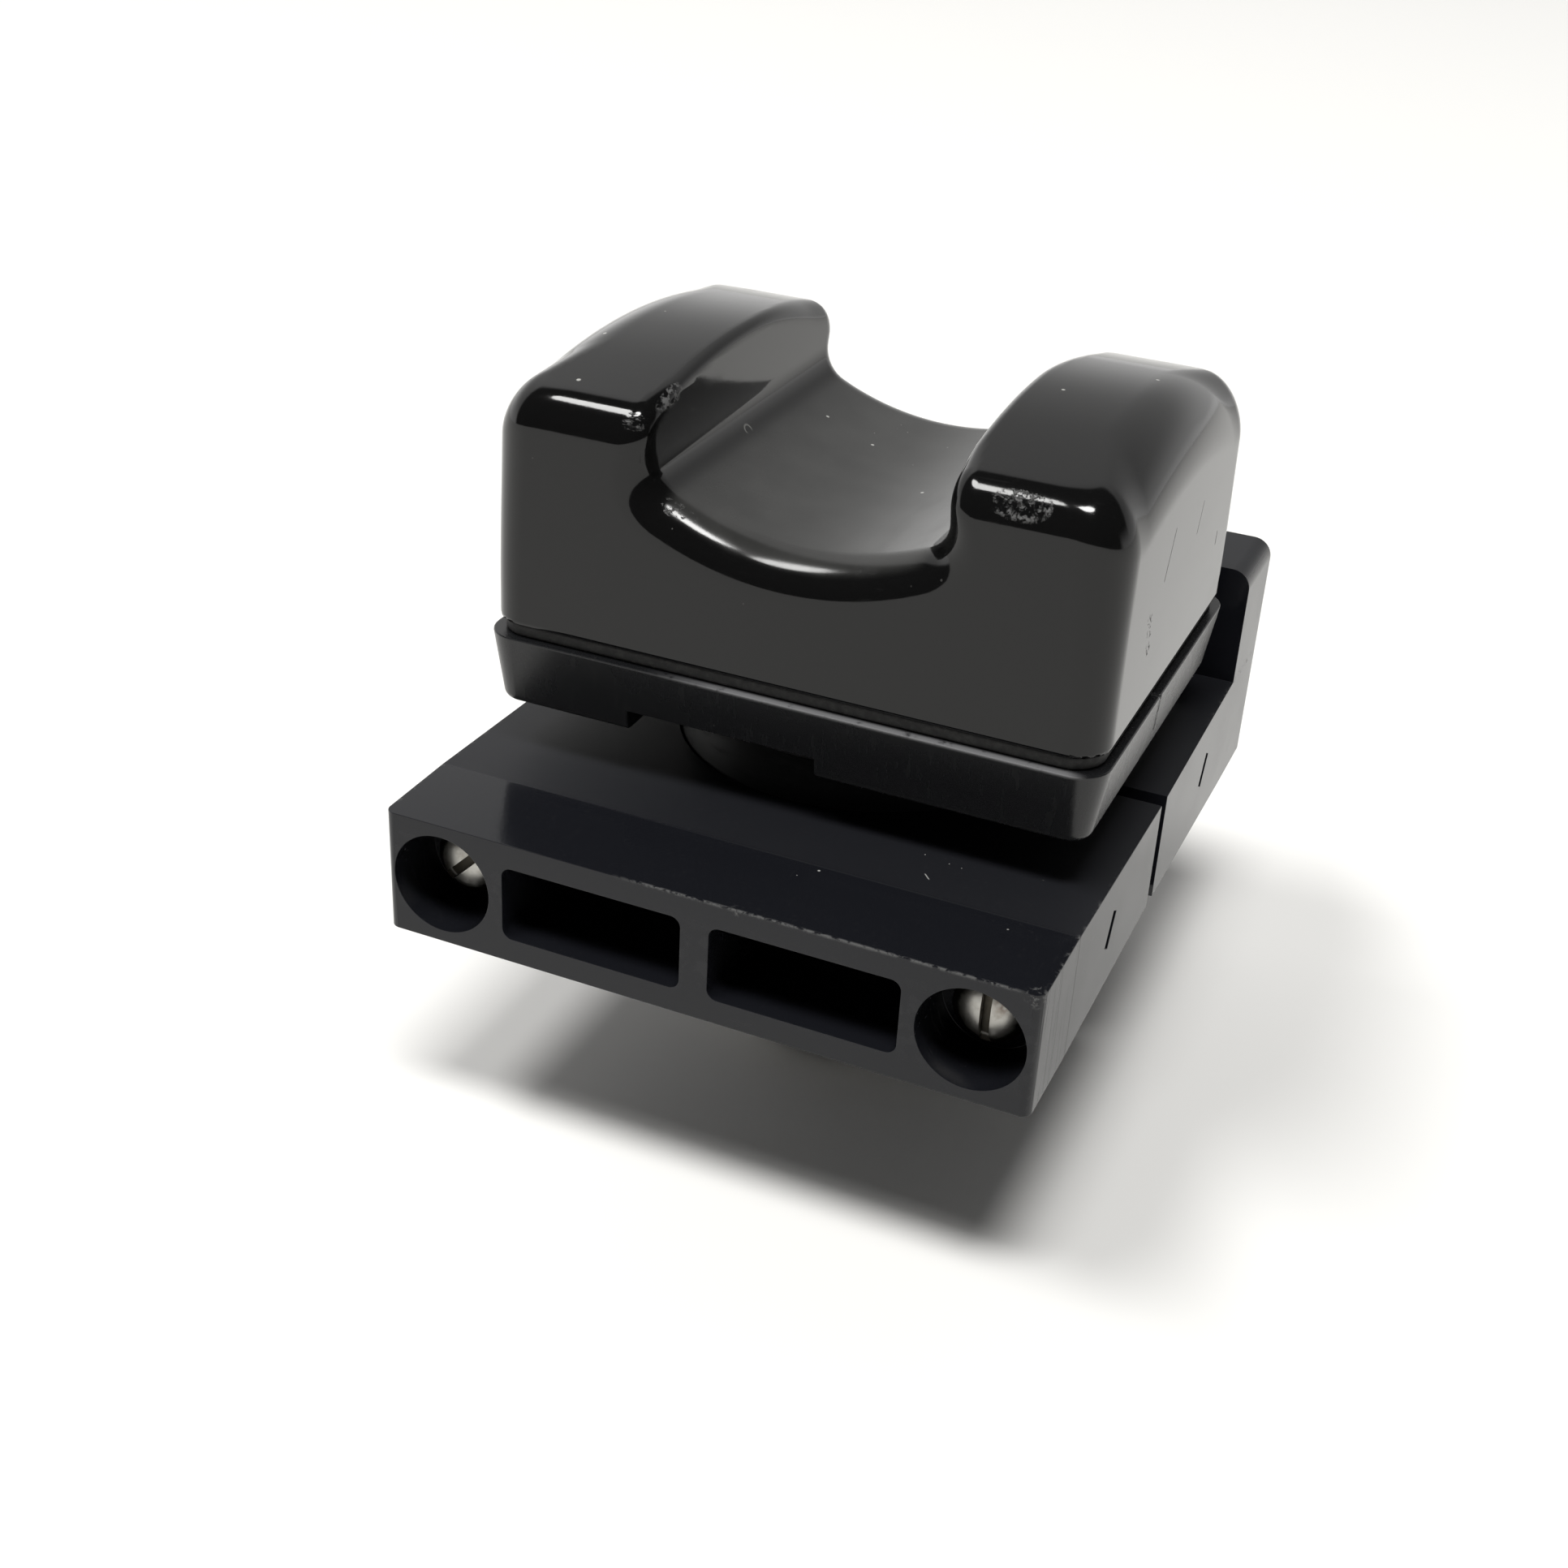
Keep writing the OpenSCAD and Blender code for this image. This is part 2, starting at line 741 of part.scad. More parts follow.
module lead_wires() {
    color([0.5, 0.3, 0.2])
        at_pins()
            translate([0, 0, pin_top])
                cylinder(h = lip_top - pin_top, r = wire_r, $fn = CORNER);
}

// Cast resin that fills the neck around the wires
module neck_potting() {
    color([0.15, 0.14, 0.13])
        difference() {
            translate([0, 0, insert_top])
                cylinder(h = potting_top - insert_top, r = cup_r - wire_clearance, $fn = SMOOTH);
            at_pins() {
                translate([0, 0, insert_top - PAST])
                    cylinder(h = pin_top - insert_top + PAST, r = pin_r + wire_clearance, $fn = CORNER);
                translate([0, 0, insert_top])
                    cylinder(h = potting_top, r = wire_r + wire_clearance, $fn = CORNER);
            }
        }
}

module main_board() {
    color(BOARD)
        translate([0, 0, lip_top])
            linear_extrude(board_height)
                rounded(2 * board_half, 1.5);
}

// Upright board in one tower, on the side given
module tower_board(side) {
    color(BOARD)
        translate([side * (tower_board_x + board_height / 2) - board_height / 2, -tower_board_half, board_top])
            cube([board_height, 2 * tower_board_half, tower_board_top - board_top]);
}

module emitter_board() {
    tower_board(-1);
}

module receiver_board() {
    tower_board(1);
}

// Round diode that looks across the valley from the side given
module diode(side, flange) {
    translate([side * tower_board_x, 0, beam_z])
        rotate([0, -90 * side, 0]) {
            cylinder(h = flange, d = diode_d + 2 * diode_rim, $fn = SMOOTH);
            cylinder(h = diode_length - diode_d / 2, d = diode_d, $fn = SMOOTH);
            translate([0, 0, diode_length - diode_d / 2])
                intersection() {
                    sphere(diode_d / 2, $fn = SMOOTH);
                    cylinder(h = diode_d, d = diode_d + PAST, $fn = SMOOTH);
                }
        }
}

module emitter_diode() {
    color([0.35, 0.4, 0.6])
        diode(-1, 1);
}

module receiver_diode() {
    color([0.08, 0.08, 0.1])
        diode(1, 0.8);
}

module board_headers() {
    color(RUBBER)
        for (side = [-1, 1])
            translate([side * (tower_board_x - header_size[0] / 2), 0, board_top + header_size[2] / 2])
                cube(header_size, center = true);
}

module controller_chip() {
    color(RUBBER)
        translate([chip_at[0], chip_at[1], board_top]) {
            translate([0, 0, (chip_body[2] + chip_stand_off) / 2])
                cube([chip_body[0], chip_body[1], chip_body[2] - chip_stand_off], center = true);
            for (side = [-1, 1], i = [0:7])
                translate([(i - 3.5) * leg_pitch,
                        side * ((chip_body[1] + leg_size[1]) / 2 - leg_lap), leg_size[2] / 2])
                    cube(leg_size, center = true);
        }
}

module output_transistors() {
    color(RUBBER)
        for (side = [-1, 1])
            translate([transistor_at[0], side * transistor_at[1], board_top]) {
                translate([0, 0, transistor_body[2] / 2])
                    cube(transistor_body, center = true);
                translate([tab_lap - (transistor_body[0] + tab_size[0]) / 2, 0, tab_size[2] / 2])
                    cube(tab_size, center = true);
            }
}

module capacitors() {
    color(STEEL)
        for (place = capacitor_at)
            translate([place[0], place[1], board_top]) {
                translate([0, 0, can_bottom])
                    cylinder(h = can_top - can_bottom, d = can_d, $fn = SMOOTH);
                translate([0, 0, can_foot[2] / 2])
                    cube(can_foot, center = true);
            }
}

bracket_front();
bracket_rear();
clamp_screws();
clamp_washers();
clamp_nuts();
swivel_ball();
base();
housing_seal();
upper_housing();
neck_seal();
lock_washer();
lock_nut();
connector_shell();
connector_seal();
connector_insert();
connector_pins();
lead_wires();
neck_potting();
main_board();
emitter_board();
receiver_board();
emitter_diode();
receiver_diode();
board_headers();
controller_chip();
output_transistors();
capacitors();
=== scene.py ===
import math

import bmesh
import bpy
import numpy as np
from mathutils import Matrix, Vector


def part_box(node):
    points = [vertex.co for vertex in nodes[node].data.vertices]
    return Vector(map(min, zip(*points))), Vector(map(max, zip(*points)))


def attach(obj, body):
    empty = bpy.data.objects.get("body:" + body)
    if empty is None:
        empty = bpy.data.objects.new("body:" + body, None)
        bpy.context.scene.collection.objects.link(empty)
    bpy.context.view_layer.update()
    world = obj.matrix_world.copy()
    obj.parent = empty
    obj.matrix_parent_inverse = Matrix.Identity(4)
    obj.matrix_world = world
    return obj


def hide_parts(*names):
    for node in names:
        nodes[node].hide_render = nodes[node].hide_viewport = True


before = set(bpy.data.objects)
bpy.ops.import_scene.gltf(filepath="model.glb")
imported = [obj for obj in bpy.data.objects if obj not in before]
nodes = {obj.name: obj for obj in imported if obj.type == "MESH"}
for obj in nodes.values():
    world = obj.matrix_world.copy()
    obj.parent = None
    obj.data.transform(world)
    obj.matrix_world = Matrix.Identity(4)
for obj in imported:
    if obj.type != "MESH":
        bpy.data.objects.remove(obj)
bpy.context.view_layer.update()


# Bracket
# Two halves of glass-filled black thermoplastic, moulded apart and drawn together on the ball by
# two screws. The faces are satin, with worn pale edges, knocks and flash where the mould met.

class Term:
    """A shader socket that takes part in plain arithmetic."""

    def __init__(self, finish, socket):
        self.finish = finish
        self.socket = socket

    def math(self, operation, *others):
        made = self.finish.node("Math", {"operation": operation}, dict(enumerate((self, *others))))
        return Term(self.finish, made.outputs[0])

    def __add__(self, other):
        return self.math("ADD", other)

    def __sub__(self, other):
        return self.math("SUBTRACT", other)

    def __rsub__(self, other):
        return (self * -1.0) + other

    def __mul__(self, other):
        return self.math("MULTIPLY", other)

    def __neg__(self):
        return self * -1.0

    def __abs__(self):
        return self.math("ABSOLUTE")

    __radd__ = __add__
    __rmul__ = __mul__

    def ramp(self, start, end):
        """0 at start, 1 at end, eased in between."""
        made = self.finish.node("MapRange", {"interpolation_type": "SMOOTHSTEP"},
                                dict(enumerate((self, start, end, 0.0, 1.0))))
        return Term(self.finish, made.outputs[0])

    def near(self, middle, reach):
        """1 at the middle, down to 0 at that distance on both sides."""
        return abs(self - middle).ramp(reach, 0.0)

    def larger(self, other):
        return self.math("MAXIMUM", other)


class Wiring:
    """The shader nodes of one tree, made and joined here."""

    def __init__(self, tree):
        self.tree = tree

    def put(self, socket, value):
        if isinstance(value, Term):
            value = value.socket
        if isinstance(value, bpy.types.NodeSocket):
            self.tree.links.new(value, socket)
        else:
            socket.default_value = value

    def node(self, kind, settings, sockets):
        made = self.tree.nodes.new("ShaderNode" + kind)
        for name, value in settings.items():
            setattr(made, name, value)
        for name, value in sockets.items():
            self.put(made.inputs[name], value)
        return made

    def split(self, vector):
        return [Term(self, s) for s in self.node("SeparateXYZ", {}, {0: vector}).outputs]


class Finish(Wiring):
    """A material under construction. Lengths in it are millimetres in the object's own space."""

    def __init__(self, name, colour=(0.02, 0.02, 0.02), roughness=0.3, metallic=0.0, ior=1.45):
        self.material = bpy.data.materials.new(name)
        self.material.use_nodes = True
        super().__init__(self.material.node_tree)
        self.surface = self.tree.nodes["Principled BSDF"]
        self.colour = (*colour, 1.0)
        self.set("Base Color", self.colour)
        self.set("Roughness", roughness)
        self.set("Metallic", metallic)
        self.set("IOR", ior)
        coordinates = self.node("TexCoord", {}, {})
        millimetres = self.node("VectorMath", {"operation": "SCALE"},
                                {0: coordinates.outputs["Object"], "Scale": 1000.0})
        self.place = millimetres.outputs[0]
        self.x, self.y, self.z = self.split(self.place)
        self.facing = self.split(coordinates.outputs["Normal"])

    def set(self, name, value):
        self.put(self.surface.inputs[name], value)

    def stretched(self, x, y, z, turn=(0.0, 0.0, 0.0)):
        """The place with each axis scaled, for patterns that run along one of them."""
        sockets = {0: self.place, "Rotation": turn, "Scale": (x, y, z)}
        return self.node("Mapping", {}, sockets).outputs[0]

    def noise(self, per_mm, detail=3.0, roughness=0.5, vector=None):
        made = self.node("TexNoise", {}, {
            "Vector": vector or self.place, "Scale": per_mm, "Detail": detail,
            "Roughness": roughness})
        return Term(self, made.outputs["Fac"])

    def specks(self, per_mm, size, share):
        """Round specks on a share of the cells, size as part of a cell."""
        made = self.node("TexVoronoi", {}, {"Vector": self.place, "Scale": per_mm})
        chance = self.split(made.outputs["Color"])[0].ramp(share, share * 0.9)
        return Term(self, made.outputs["Distance"]).ramp(size, size * 0.4) * chance

    def stroke(self, across, along, start, end, width):
        """A thin line on a flat face from start to end, both as (across, along)."""
        length = math.dist(start, end)
        step = [(b - a) / length for a, b in zip(start, end)]
        run = (across - start[0]) * step[0] + (along - start[1]) * step[1]
        off = (across - start[0]) * step[1] - (along - start[1]) * step[0]
        return off.near(0.0, width) * run.ramp(-0.1, 0.2) * run.ramp(length + 0.1, length - 0.2)

    def spot(self, centre, radius):
        """A round fleck about a point."""
        far = self.node("VectorMath", {"operation": "DISTANCE"}, {0: self.place, 1: centre})
        return Term(self, far.outputs["Value"]).ramp(radius, radius * 0.5)

    def mix(self, share, first, second):
        made = self.node("Mix", {"data_type": "RGBA"}, {0: share})
        for index, value in ((6, first), (7, second)):
            if not isinstance(value, bpy.types.NodeSocket) and len(value) == 3:
                value = (*value, 1.0)
            self.put(made.inputs[index], value)
        return made.outputs[2]

    def paint(self, share, colour):
        """Lays a colour over what the surface has so far."""
        self.colour = self.mix(share, self.colour, colour)
        self.set("Base Color", self.colour)

    def bump(self, height, depth_mm):
        """Relief that adds to what was laid before."""
        made = self.node("Bump", {}, {
            "Height": height, "Distance": depth_mm * 0.001, "Strength": 1.0})
        normal = self.surface.inputs["Normal"]
        if normal.is_linked:
            self.put(made.inputs["Normal"], normal.links[0].from_socket)
        self.put(normal, made.outputs[0])


def plain_mesh(obj):
    """The object with its modifiers turned into one plain mesh."""
    bpy.context.view_layer.update()
    graph = bpy.context.evaluated_depsgraph_get()
    made = bpy.data.meshes.new_from_object(obj.evaluated_get(graph))
    obj.modifiers.clear()
    obj.data = made
    return obj


def smooth(obj, angle=32.0):
    """Shades the faces smoothly, but keeps edges steeper than that angle in degrees sharp."""
    bm = bmesh.new()
    bm.from_mesh(obj.data)
    for face in bm.faces:
        face.smooth = True
    for edge in bm.edges:
        edge.smooth = len(edge.link_faces) == 2 and edge.calc_face_angle(0.0) < math.radians(angle)
    bm.to_mesh(obj.data)
    bm.free()
    return obj


def copy_of(node, name, edge=0.0, steps=2, angle=30.0, only=None):
    """A merged copy of a CAD node, its edges rounded by that radius in millimetres. Edges under the
    angle stay as they are, and so do those whose middle the test in only turns down."""
    obj = bpy.data.objects.new(name, nodes[node].data.copy())
    bpy.context.scene.collection.objects.link(obj)
    obj.data.materials.clear()
    bm = bmesh.new()
    bm.from_mesh(obj.data)
    bmesh.ops.remove_doubles(bm, verts=bm.verts, dist=1e-6)
    bmesh.ops.dissolve_limit(bm, angle_limit=math.radians(0.6), verts=bm.verts, edges=bm.edges)
    if edge:
        rims = [e for e in bm.edges if len(e.link_faces) == 2
                and abs(e.calc_face_angle_signed(0.0)) > math.radians(angle)
                and (only is None or only(1000 * (e.verts[0].co + e.verts[1].co) / 2))]
        bmesh.ops.bevel(bm, geom=rims, offset=edge * 0.001, segments=steps, profile=0.5,
                        affect="EDGES", clamp_overlap=True)
    bmesh.ops.recalc_face_normals(bm, faces=bm.faces)
    bm.to_mesh(obj.data)
    bm.free()
    smooth(obj)
    obj.modifiers.new("flat faces lead", "WEIGHTED_NORMAL").keep_sharp = True
    return plain_mesh(obj)


def settle(obj, body, finish, slot, *replaced):
    """Gives a made piece its material and its body and hides the CAD nodes it stands for. The slot
    is not used.
    """
    obj.data.materials.clear()
    obj.data.materials.append(finish.material)
    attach(obj, body)
    if replaced:
        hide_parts(*replaced)


def repaint(node, finish):
    """Gives a CAD node that is shown as it is a better material."""
    for slot in nodes[node].material_slots:
        slot.link = "OBJECT"
        slot.material = finish.material


def moulded(finish, grain_mm, grain_depth, dust=0.25, scratches=0.4):
    """What every moulded black face shares: fine grain, cloudy sheen, dust and hair scratches."""
    sheen = finish.noise(0.09, 4.0, 0.55)
    fine = finish.noise(1.0 / grain_mm, 2.0, 0.5)
    finish.bump(fine, grain_depth)
    upward = finish.facing[2].ramp(0.2, 0.9)
    powder = finish.noise(2.2, 3.0, 0.7).ramp(0.58, 0.78) * finish.noise(0.12, 2.0).ramp(0.4, 0.65)
    specks = finish.specks(0.35, 0.055, 0.09).larger(finish.specks(0.8, 0.07, 0.05))
    finish.paint(powder * upward * dust * 0.03, (0.55, 0.54, 0.5))
    finish.paint(specks * upward.larger(0.25) * dust, (0.6, 0.6, 0.57))
    hairs = finish.noise(1.1, 2.0, 0.5, finish.stretched(0.12, 3.0, 3.0, (0.2, 0.1, 0.6)))
    others = finish.noise(1.3, 2.0, 0.5, finish.stretched(2.6, 0.15, 2.6, (0.1, 0.3, -0.4)))
    hairs = hairs.ramp(0.66, 0.72).larger(others.ramp(0.67, 0.73))
    hairs = hairs * finish.noise(0.2, 2.0).ramp(0.45, 0.65) * scratches
    finish.bump(-hairs, 0.002)
    finish.paint(hairs * 0.03, (0.3, 0.3, 0.3))
    return sheen, hairs


bracket = Finish("black glass-filled plastic", (0.0082, 0.0087, 0.0112), 0.2, 0.0, 1.38)
sheen, hairs = moulded(bracket, 0.35, 0.004, 0.5, 0.35)
half_low, half_high = (1000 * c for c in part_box("bracket_front"))
front_y, side_x, top_z = half_low.y, half_high.x, half_high.z
chatter = bracket.noise(1.3, 4.0, 0.7)
front_rim = bracket.y.near(front_y, 0.34) * bracket.z.near(top_z, 0.42)
worn = front_rim * bracket.x.ramp(-9.0, -4.0) * bracket.x.ramp(31.0, 28.0) * chatter.ramp(0.4, 0.55)
knocks = bracket.spot((31.2, -37.8, 33.6), 1.5).larger(bracket.spot((3.9, -38.0, 33.8), 0.8))
worn = worn.larger(knocks * bracket.noise(1.6, 4.0, 0.7).ramp(0.52, 0.62) * 0.6)
ends = (bracket.x.near(-side_x, 0.5).larger(bracket.x.near(side_x, 0.5))
        * bracket.z.near(top_z, 0.5).larger(bracket.y.near(front_y, 0.5)))
worn = worn.larger(ends * chatter.ramp(0.5, 0.66) * 0.7)
bracket.paint(worn * 0.28, (0.42, 0.42, 0.41))
rims = (bracket.y.near(front_y, 0.35) * bracket.z.near(27.5, 5.6)
        * bracket.noise(0.9, 2.0).ramp(0.45, 0.6))
bracket.paint(rims * 0.02, (0.3, 0.3, 0.3))
tops = bracket.facing[2].ramp(0.5, 0.9)
sides = abs(bracket.facing[0]).ramp(0.5, 0.9)
mould_joint_y = -28.1
mould = bracket.y.near(mould_joint_y, 0.2)
bracket.paint(mould * tops * bracket.x.ramp(-25.0, 5.0) * 0.016, (0.5, 0.5, 0.5))
bracket.paint(mould * sides, (0.001, 0.001, 0.001))
bracket.bump(-mould * sides, 0.03)
flash = bracket.noise(1.0, 2.0, 0.5, bracket.stretched(0.3, 1.4, 0.05)).ramp(0.52, 0.6)
bracket.bump(-flash * bracket.y.ramp(-26.0, -34.0) * sides, 0.02)
fibres = bracket.stroke(bracket.x, bracket.y, (16.2, -24.6), (16.9, -25.4), 0.09)
fibres = fibres.larger(bracket.spot((7.7, -28.8, 33.85), 0.16))
bracket.paint(fibres * 0.6, (0.6, 0.6, 0.58))
behind = bracket.y.ramp(-28.2, -27.8) * tops
bracket.set("Roughness", (
    0.07 + sheen * 0.1 + hairs * 0.1 + worn * 0.3 + sides * 0.12 + behind * 0.36))

for half, grow in (("bracket_front", 0.09), ("bracket_rear", 0.11)):
    piece = copy_of(half, half.replace("_", "-") + "-half", grow, 2, 35.0)
    settle(piece, "bracket", bracket, "bracket_plastic", half)


# Clamp screws
# Slotted pan-head machine screws of zinc-plated steel, sunk in counterbores in the front half.
# They run through split washers and both halves into nuts held in six-sided pockets.

def lathe(name, profile, around=64, middle=(0.0, 0.0, 0.0), axis="Z"):
    """Turns (radius, height) points in millimetres about an axis. Ends on radius 0 are closed."""
    bm = bmesh.new()
    rings = []
    for radius, height in profile:
        if radius < 1e-6:
            rings.append([bm.verts.new((0.0, 0.0, height))])
        else:
            rings.append([bm.verts.new((radius * math.cos(2 * math.pi * i / around),
                                        radius * math.sin(2 * math.pi * i / around), height))
                          for i in range(around)])
    pairs = list(zip(rings, rings[1:]))
    if len(rings[0]) > 1 and len(rings[-1]) > 1:
        pairs.append((rings[-1], rings[0]))
    for low, high in pairs:
        for i in range(around):
            j = (i + 1) % around
            if len(low) == 1:
                bm.faces.new((low[0], high[j], high[i]))
            elif len(high) == 1:
                bm.faces.new((low[i], low[j], high[0]))
            else:
                bm.faces.new((low[i], low[j], high[j], high[i]))
    if axis == "Y":
        laid_down = Matrix.Rotation(-math.pi / 2, 3, "X")
        bmesh.ops.rotate(bm, verts=bm.verts, cent=(0, 0, 0), matrix=laid_down)
    bmesh.ops.translate(bm, verts=bm.verts, vec=middle)
    bmesh.ops.scale(bm, verts=bm.verts, vec=(0.001, 0.001, 0.001))
    bmesh.ops.recalc_face_normals(bm, faces=bm.faces)
    mesh = bpy.data.meshes.new(name)
    bm.to_mesh(mesh)
    bm.free()
    obj = bpy.data.objects.new(name, mesh)
    bpy.context.scene.collection.objects.link(obj)
    return smooth(obj)


def threaded(profile, crest, pitch, bottom, top, rows=6):
    """A profile whose stretch from bottom to top on the crest radius carries thread rows."""
    count = max(2, int((top - bottom) / pitch * rows))
    before = [p for p in profile if p[1] < bottom]
    after = [p for p in profile if p[1] > top]
    rows_made = [(crest, bottom + (top - bottom) * i / count) for i in range(count + 1)]
    return before + rows_made + after


def wind(obj, crest, root, pitch, bottom, top, middle=(0.0, 0.0), axis="Z"):
    """Pushes the rows of a threaded bar in along a helix, running out at both ends."""
    for vertex in obj.data.vertices:
        x, y, z = (1000 * c for c in vertex.co)
        if axis == "Y":
            u, v, along = x - middle[0], -(z - middle[1]), y
        else:
            u, v, along = x - middle[0], y - middle[1], z
        radius = math.hypot(u, v)
        if bottom - 1e-6 <= along <= top + 1e-6 and abs(radius - crest) < 0.02:
            phase = (along / pitch - math.atan2(v, u) / (2 * math.pi)) % 1.0
            depth = (crest - root) * abs(2 * phase - 1)
            fade = min(1.0, (along - bottom) / pitch, (top - along) / pitch)
            scale = (radius - depth * max(0.0, fade)) / radius
            u, v = u * scale, v * scale
            if axis == "Y":
                vertex.co.x, vertex.co.z = (middle[0] + u) / 1000, (middle[1] - v) / 1000
            else:
                vertex.co.x, vertex.co.y = (middle[0] + u) / 1000, (middle[1] + v) / 1000
    return smooth(obj, 40)


def repeated(obj, source, finish, sizes):
    """Copies of an object on the points that a Geometry Nodes source makes, as one plain mesh."""
    tree = bpy.data.node_groups.new(obj.name + " copies", "GeometryNodeTree")
    kinds = {int: "NodeSocketInt", float: "NodeSocketFloat", tuple: "NodeSocketVector",
             bpy.types.Material: "NodeSocketMaterial"}
    values = dict(sizes, Material=finish.material)
    for way in ("INPUT", "OUTPUT"):
        tree.interface.new_socket("Geometry", in_out=way, socket_type="NodeSocketGeometry")
    for name, value in values.items():
        tree.interface.new_socket(name, in_out="INPUT", socket_type=kinds[type(value)])
    given, points, place, real, coat, result = (tree.nodes.new(kind) for kind in (
        "NodeGroupInput", source, "GeometryNodeInstanceOnPoints", "GeometryNodeRealizeInstances",
        "GeometryNodeSetMaterial", "NodeGroupOutput"))
    for name in sizes:
        tree.links.new(given.outputs[name], points.inputs[name])
    tree.links.new(points.outputs[0], place.inputs["Points"])
    tree.links.new(given.outputs["Geometry"], place.inputs["Instance"])
    tree.links.new(place.outputs[0], real.inputs[0])
    tree.links.new(real.outputs[0], coat.inputs["Geometry"])
    tree.links.new(given.outputs["Material"], coat.inputs["Material"])
    tree.links.new(coat.outputs[0], result.inputs[0])
    copies = obj.modifiers.new("copies", "NODES")
    copies.node_group = tree
    for item in tree.interface.items_tree:
        if item.in_out == "INPUT" and item.name in values:
            copies[item.identifier] = values[item.name]
    plain_mesh(obj)
    obj.data.polygons.foreach_set("material_index", [0] * len(obj.data.polygons))
    return obj


screw_low, screw_high = (1000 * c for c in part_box("clamp_screws"))
screw_face, screw_tip = screw_low.y, screw_high.y
head_r, shank_r, head_height = 3.4, 1.75, 2.1
screw_x, screw_z = 25.85, 27.5
thread_depth, thread_pitch, thread_length, chamfer = 0.35, 0.8, 24.0, 0.5
slot_length, slot_depth, slot_width = 9.0, 1.2, 0.95
plated = Finish("zinc-plated steel", (0.46, 0.45, 0.42), 0.3, 1.0)
brushed = plated.noise(3.0, 3.0, 0.6, plated.stretched(1.0, 0.25, 1.0))
stain = plated.noise(0.5, 4.0, 0.65)
plated.paint(stain.ramp(0.45, 0.7) * 0.55, (0.2, 0.18, 0.15))
rust = plated.x.near(27.6, 1.6) * plated.z.near(29.2, 1.5) * plated.noise(1.4, 3.0).ramp(0.4, 0.6)
plated.paint(rust * 0.8, (0.16, 0.07, 0.03))
# Painted shade: the outer rim of each head, the washers and nuts down in the counterbores and the
# inside of each slot are painted dark brown.
right, above = abs(plated.x) - screw_x, plated.z - screw_z
out = right * right + above * above
painted_rim_and_slot_shade = (out + plated.noise(1.1, 4.0, 0.6) * 4.0).ramp(7.5, 10.0)
deep = plated.y - screw_face
in_slot = deep.ramp(0.7, 0.9) * deep.ramp(1.4, 1.3)
painted_rim_and_slot_shade = painted_rim_and_slot_shade.larger(in_slot * out.ramp(6.5, 5.5))
plated.paint(painted_rim_and_slot_shade * 0.95, (0.035, 0.03, 0.022))
plated.set("Roughness", 0.26 + brushed * 0.2 + rust * 0.3)
plated.bump(plated.noise(4.0, 3.0, 0.6), 0.01)
seat = screw_face + head_height
head = [(0.0, screw_face + 0.02), (1.0, screw_face + 0.07), (1.8, screw_face + 0.24),
        (2.4, screw_face + 0.52), (2.8, screw_face + 0.85), (head_r, screw_face + 1.35),
        (head_r, seat - 0.1), (head_r - 0.1, seat), (shank_r + 0.15, seat), (shank_r, seat + 0.2)]
thread_start, thread_end = screw_tip - thread_length, screw_tip - chamfer
end = [(shank_r, thread_end), (shank_r - 0.45, screw_tip), (0.0, screw_tip)]
profile = threaded(head + end, shank_r, thread_pitch, thread_start, thread_end)
screws = lathe("clamp-screws", profile, 48, (0.0, 0.0, screw_z), "Y")
wind(screws, shank_r, shank_r - thread_depth, thread_pitch, thread_start, thread_end,
     (0.0, screw_z), "Y")
repeated(screws, "GeometryNodeMeshLine", plated, {
    "Count": 2, "Start Location": (-screw_x / 1000, 0.0, 0.0),
    "Offset": (2 * screw_x / 1000, 0.0, 0.0)})
bm = bmesh.new()
for middle, turn in ((-screw_x, -45.0), (screw_x, 90.0)):
    made = bmesh.ops.create_cube(bm, size=0.001)["verts"]
    bmesh.ops.scale(bm, verts=made, vec=(slot_length, 2 * slot_depth, slot_width))
    as_left = Matrix.Rotation(math.radians(turn), 3, "Y")
    bmesh.ops.rotate(bm, verts=made, cent=(0, 0, 0), matrix=as_left)
    bmesh.ops.translate(bm, verts=made, vec=Vector((middle, screw_face, screw_z)) / 1000)
cutter_mesh = bpy.data.meshes.new("slots")
bm.to_mesh(cutter_mesh)
bm.free()
cutter = bpy.data.objects.new("slots", cutter_mesh)
bpy.context.scene.collection.objects.link(cutter)
cut = screws.modifiers.new("slots", "BOOLEAN")
cut.operation, cut.object, cut.solver = "DIFFERENCE", cutter, "EXACT"
plain_mesh(screws)
bpy.data.objects.remove(cutter)
smooth(screws, 35)
settle(screws, "bracket", plated, "plated_steel", "clamp_screws")

for node, name in (("clamp_washers", "clamp-washers"), ("clamp_nuts", "clamp-nuts")):
    settle(copy_of(node, name, 0.1, 2, 40.0), "bracket", plated, "plated_steel", node)


# Swivel ball
# A ball of black thermoplastic with two flats and a bore for the neck. It is gripped between the
# halves of the bracket. Its surface is satin, with turning marks left by the clamping.

ball = Finish("ball plastic", (0.005, 0.0052, 0.006), 0.3, 0.0, 1.3)
sheen, hairs = moulded(ball, 0.6, 0.005, 0.4, 0.5)
rubbed = ball.noise(0.8, 3.0, 0.6, ball.stretched(0.35, 0.35, 3.0)).ramp(0.5, 0.72)
ball.paint(rubbed * 0.02, (0.3, 0.3, 0.3))
ball.set("Roughness", 0.42 + sheen * 0.14 + rubbed * 0.12)
piece = copy_of("swivel_ball", "swivel-ball", 0.3, 3, 30.0)
settle(piece, "ball", ball, "ball_plastic", "swivel_ball")


# Base
# The tub that carries the switch, moulded in black with its hollow neck. The neck runs through the
# ball. The upper outside edge is worn to a pale line and one corner has a nick.

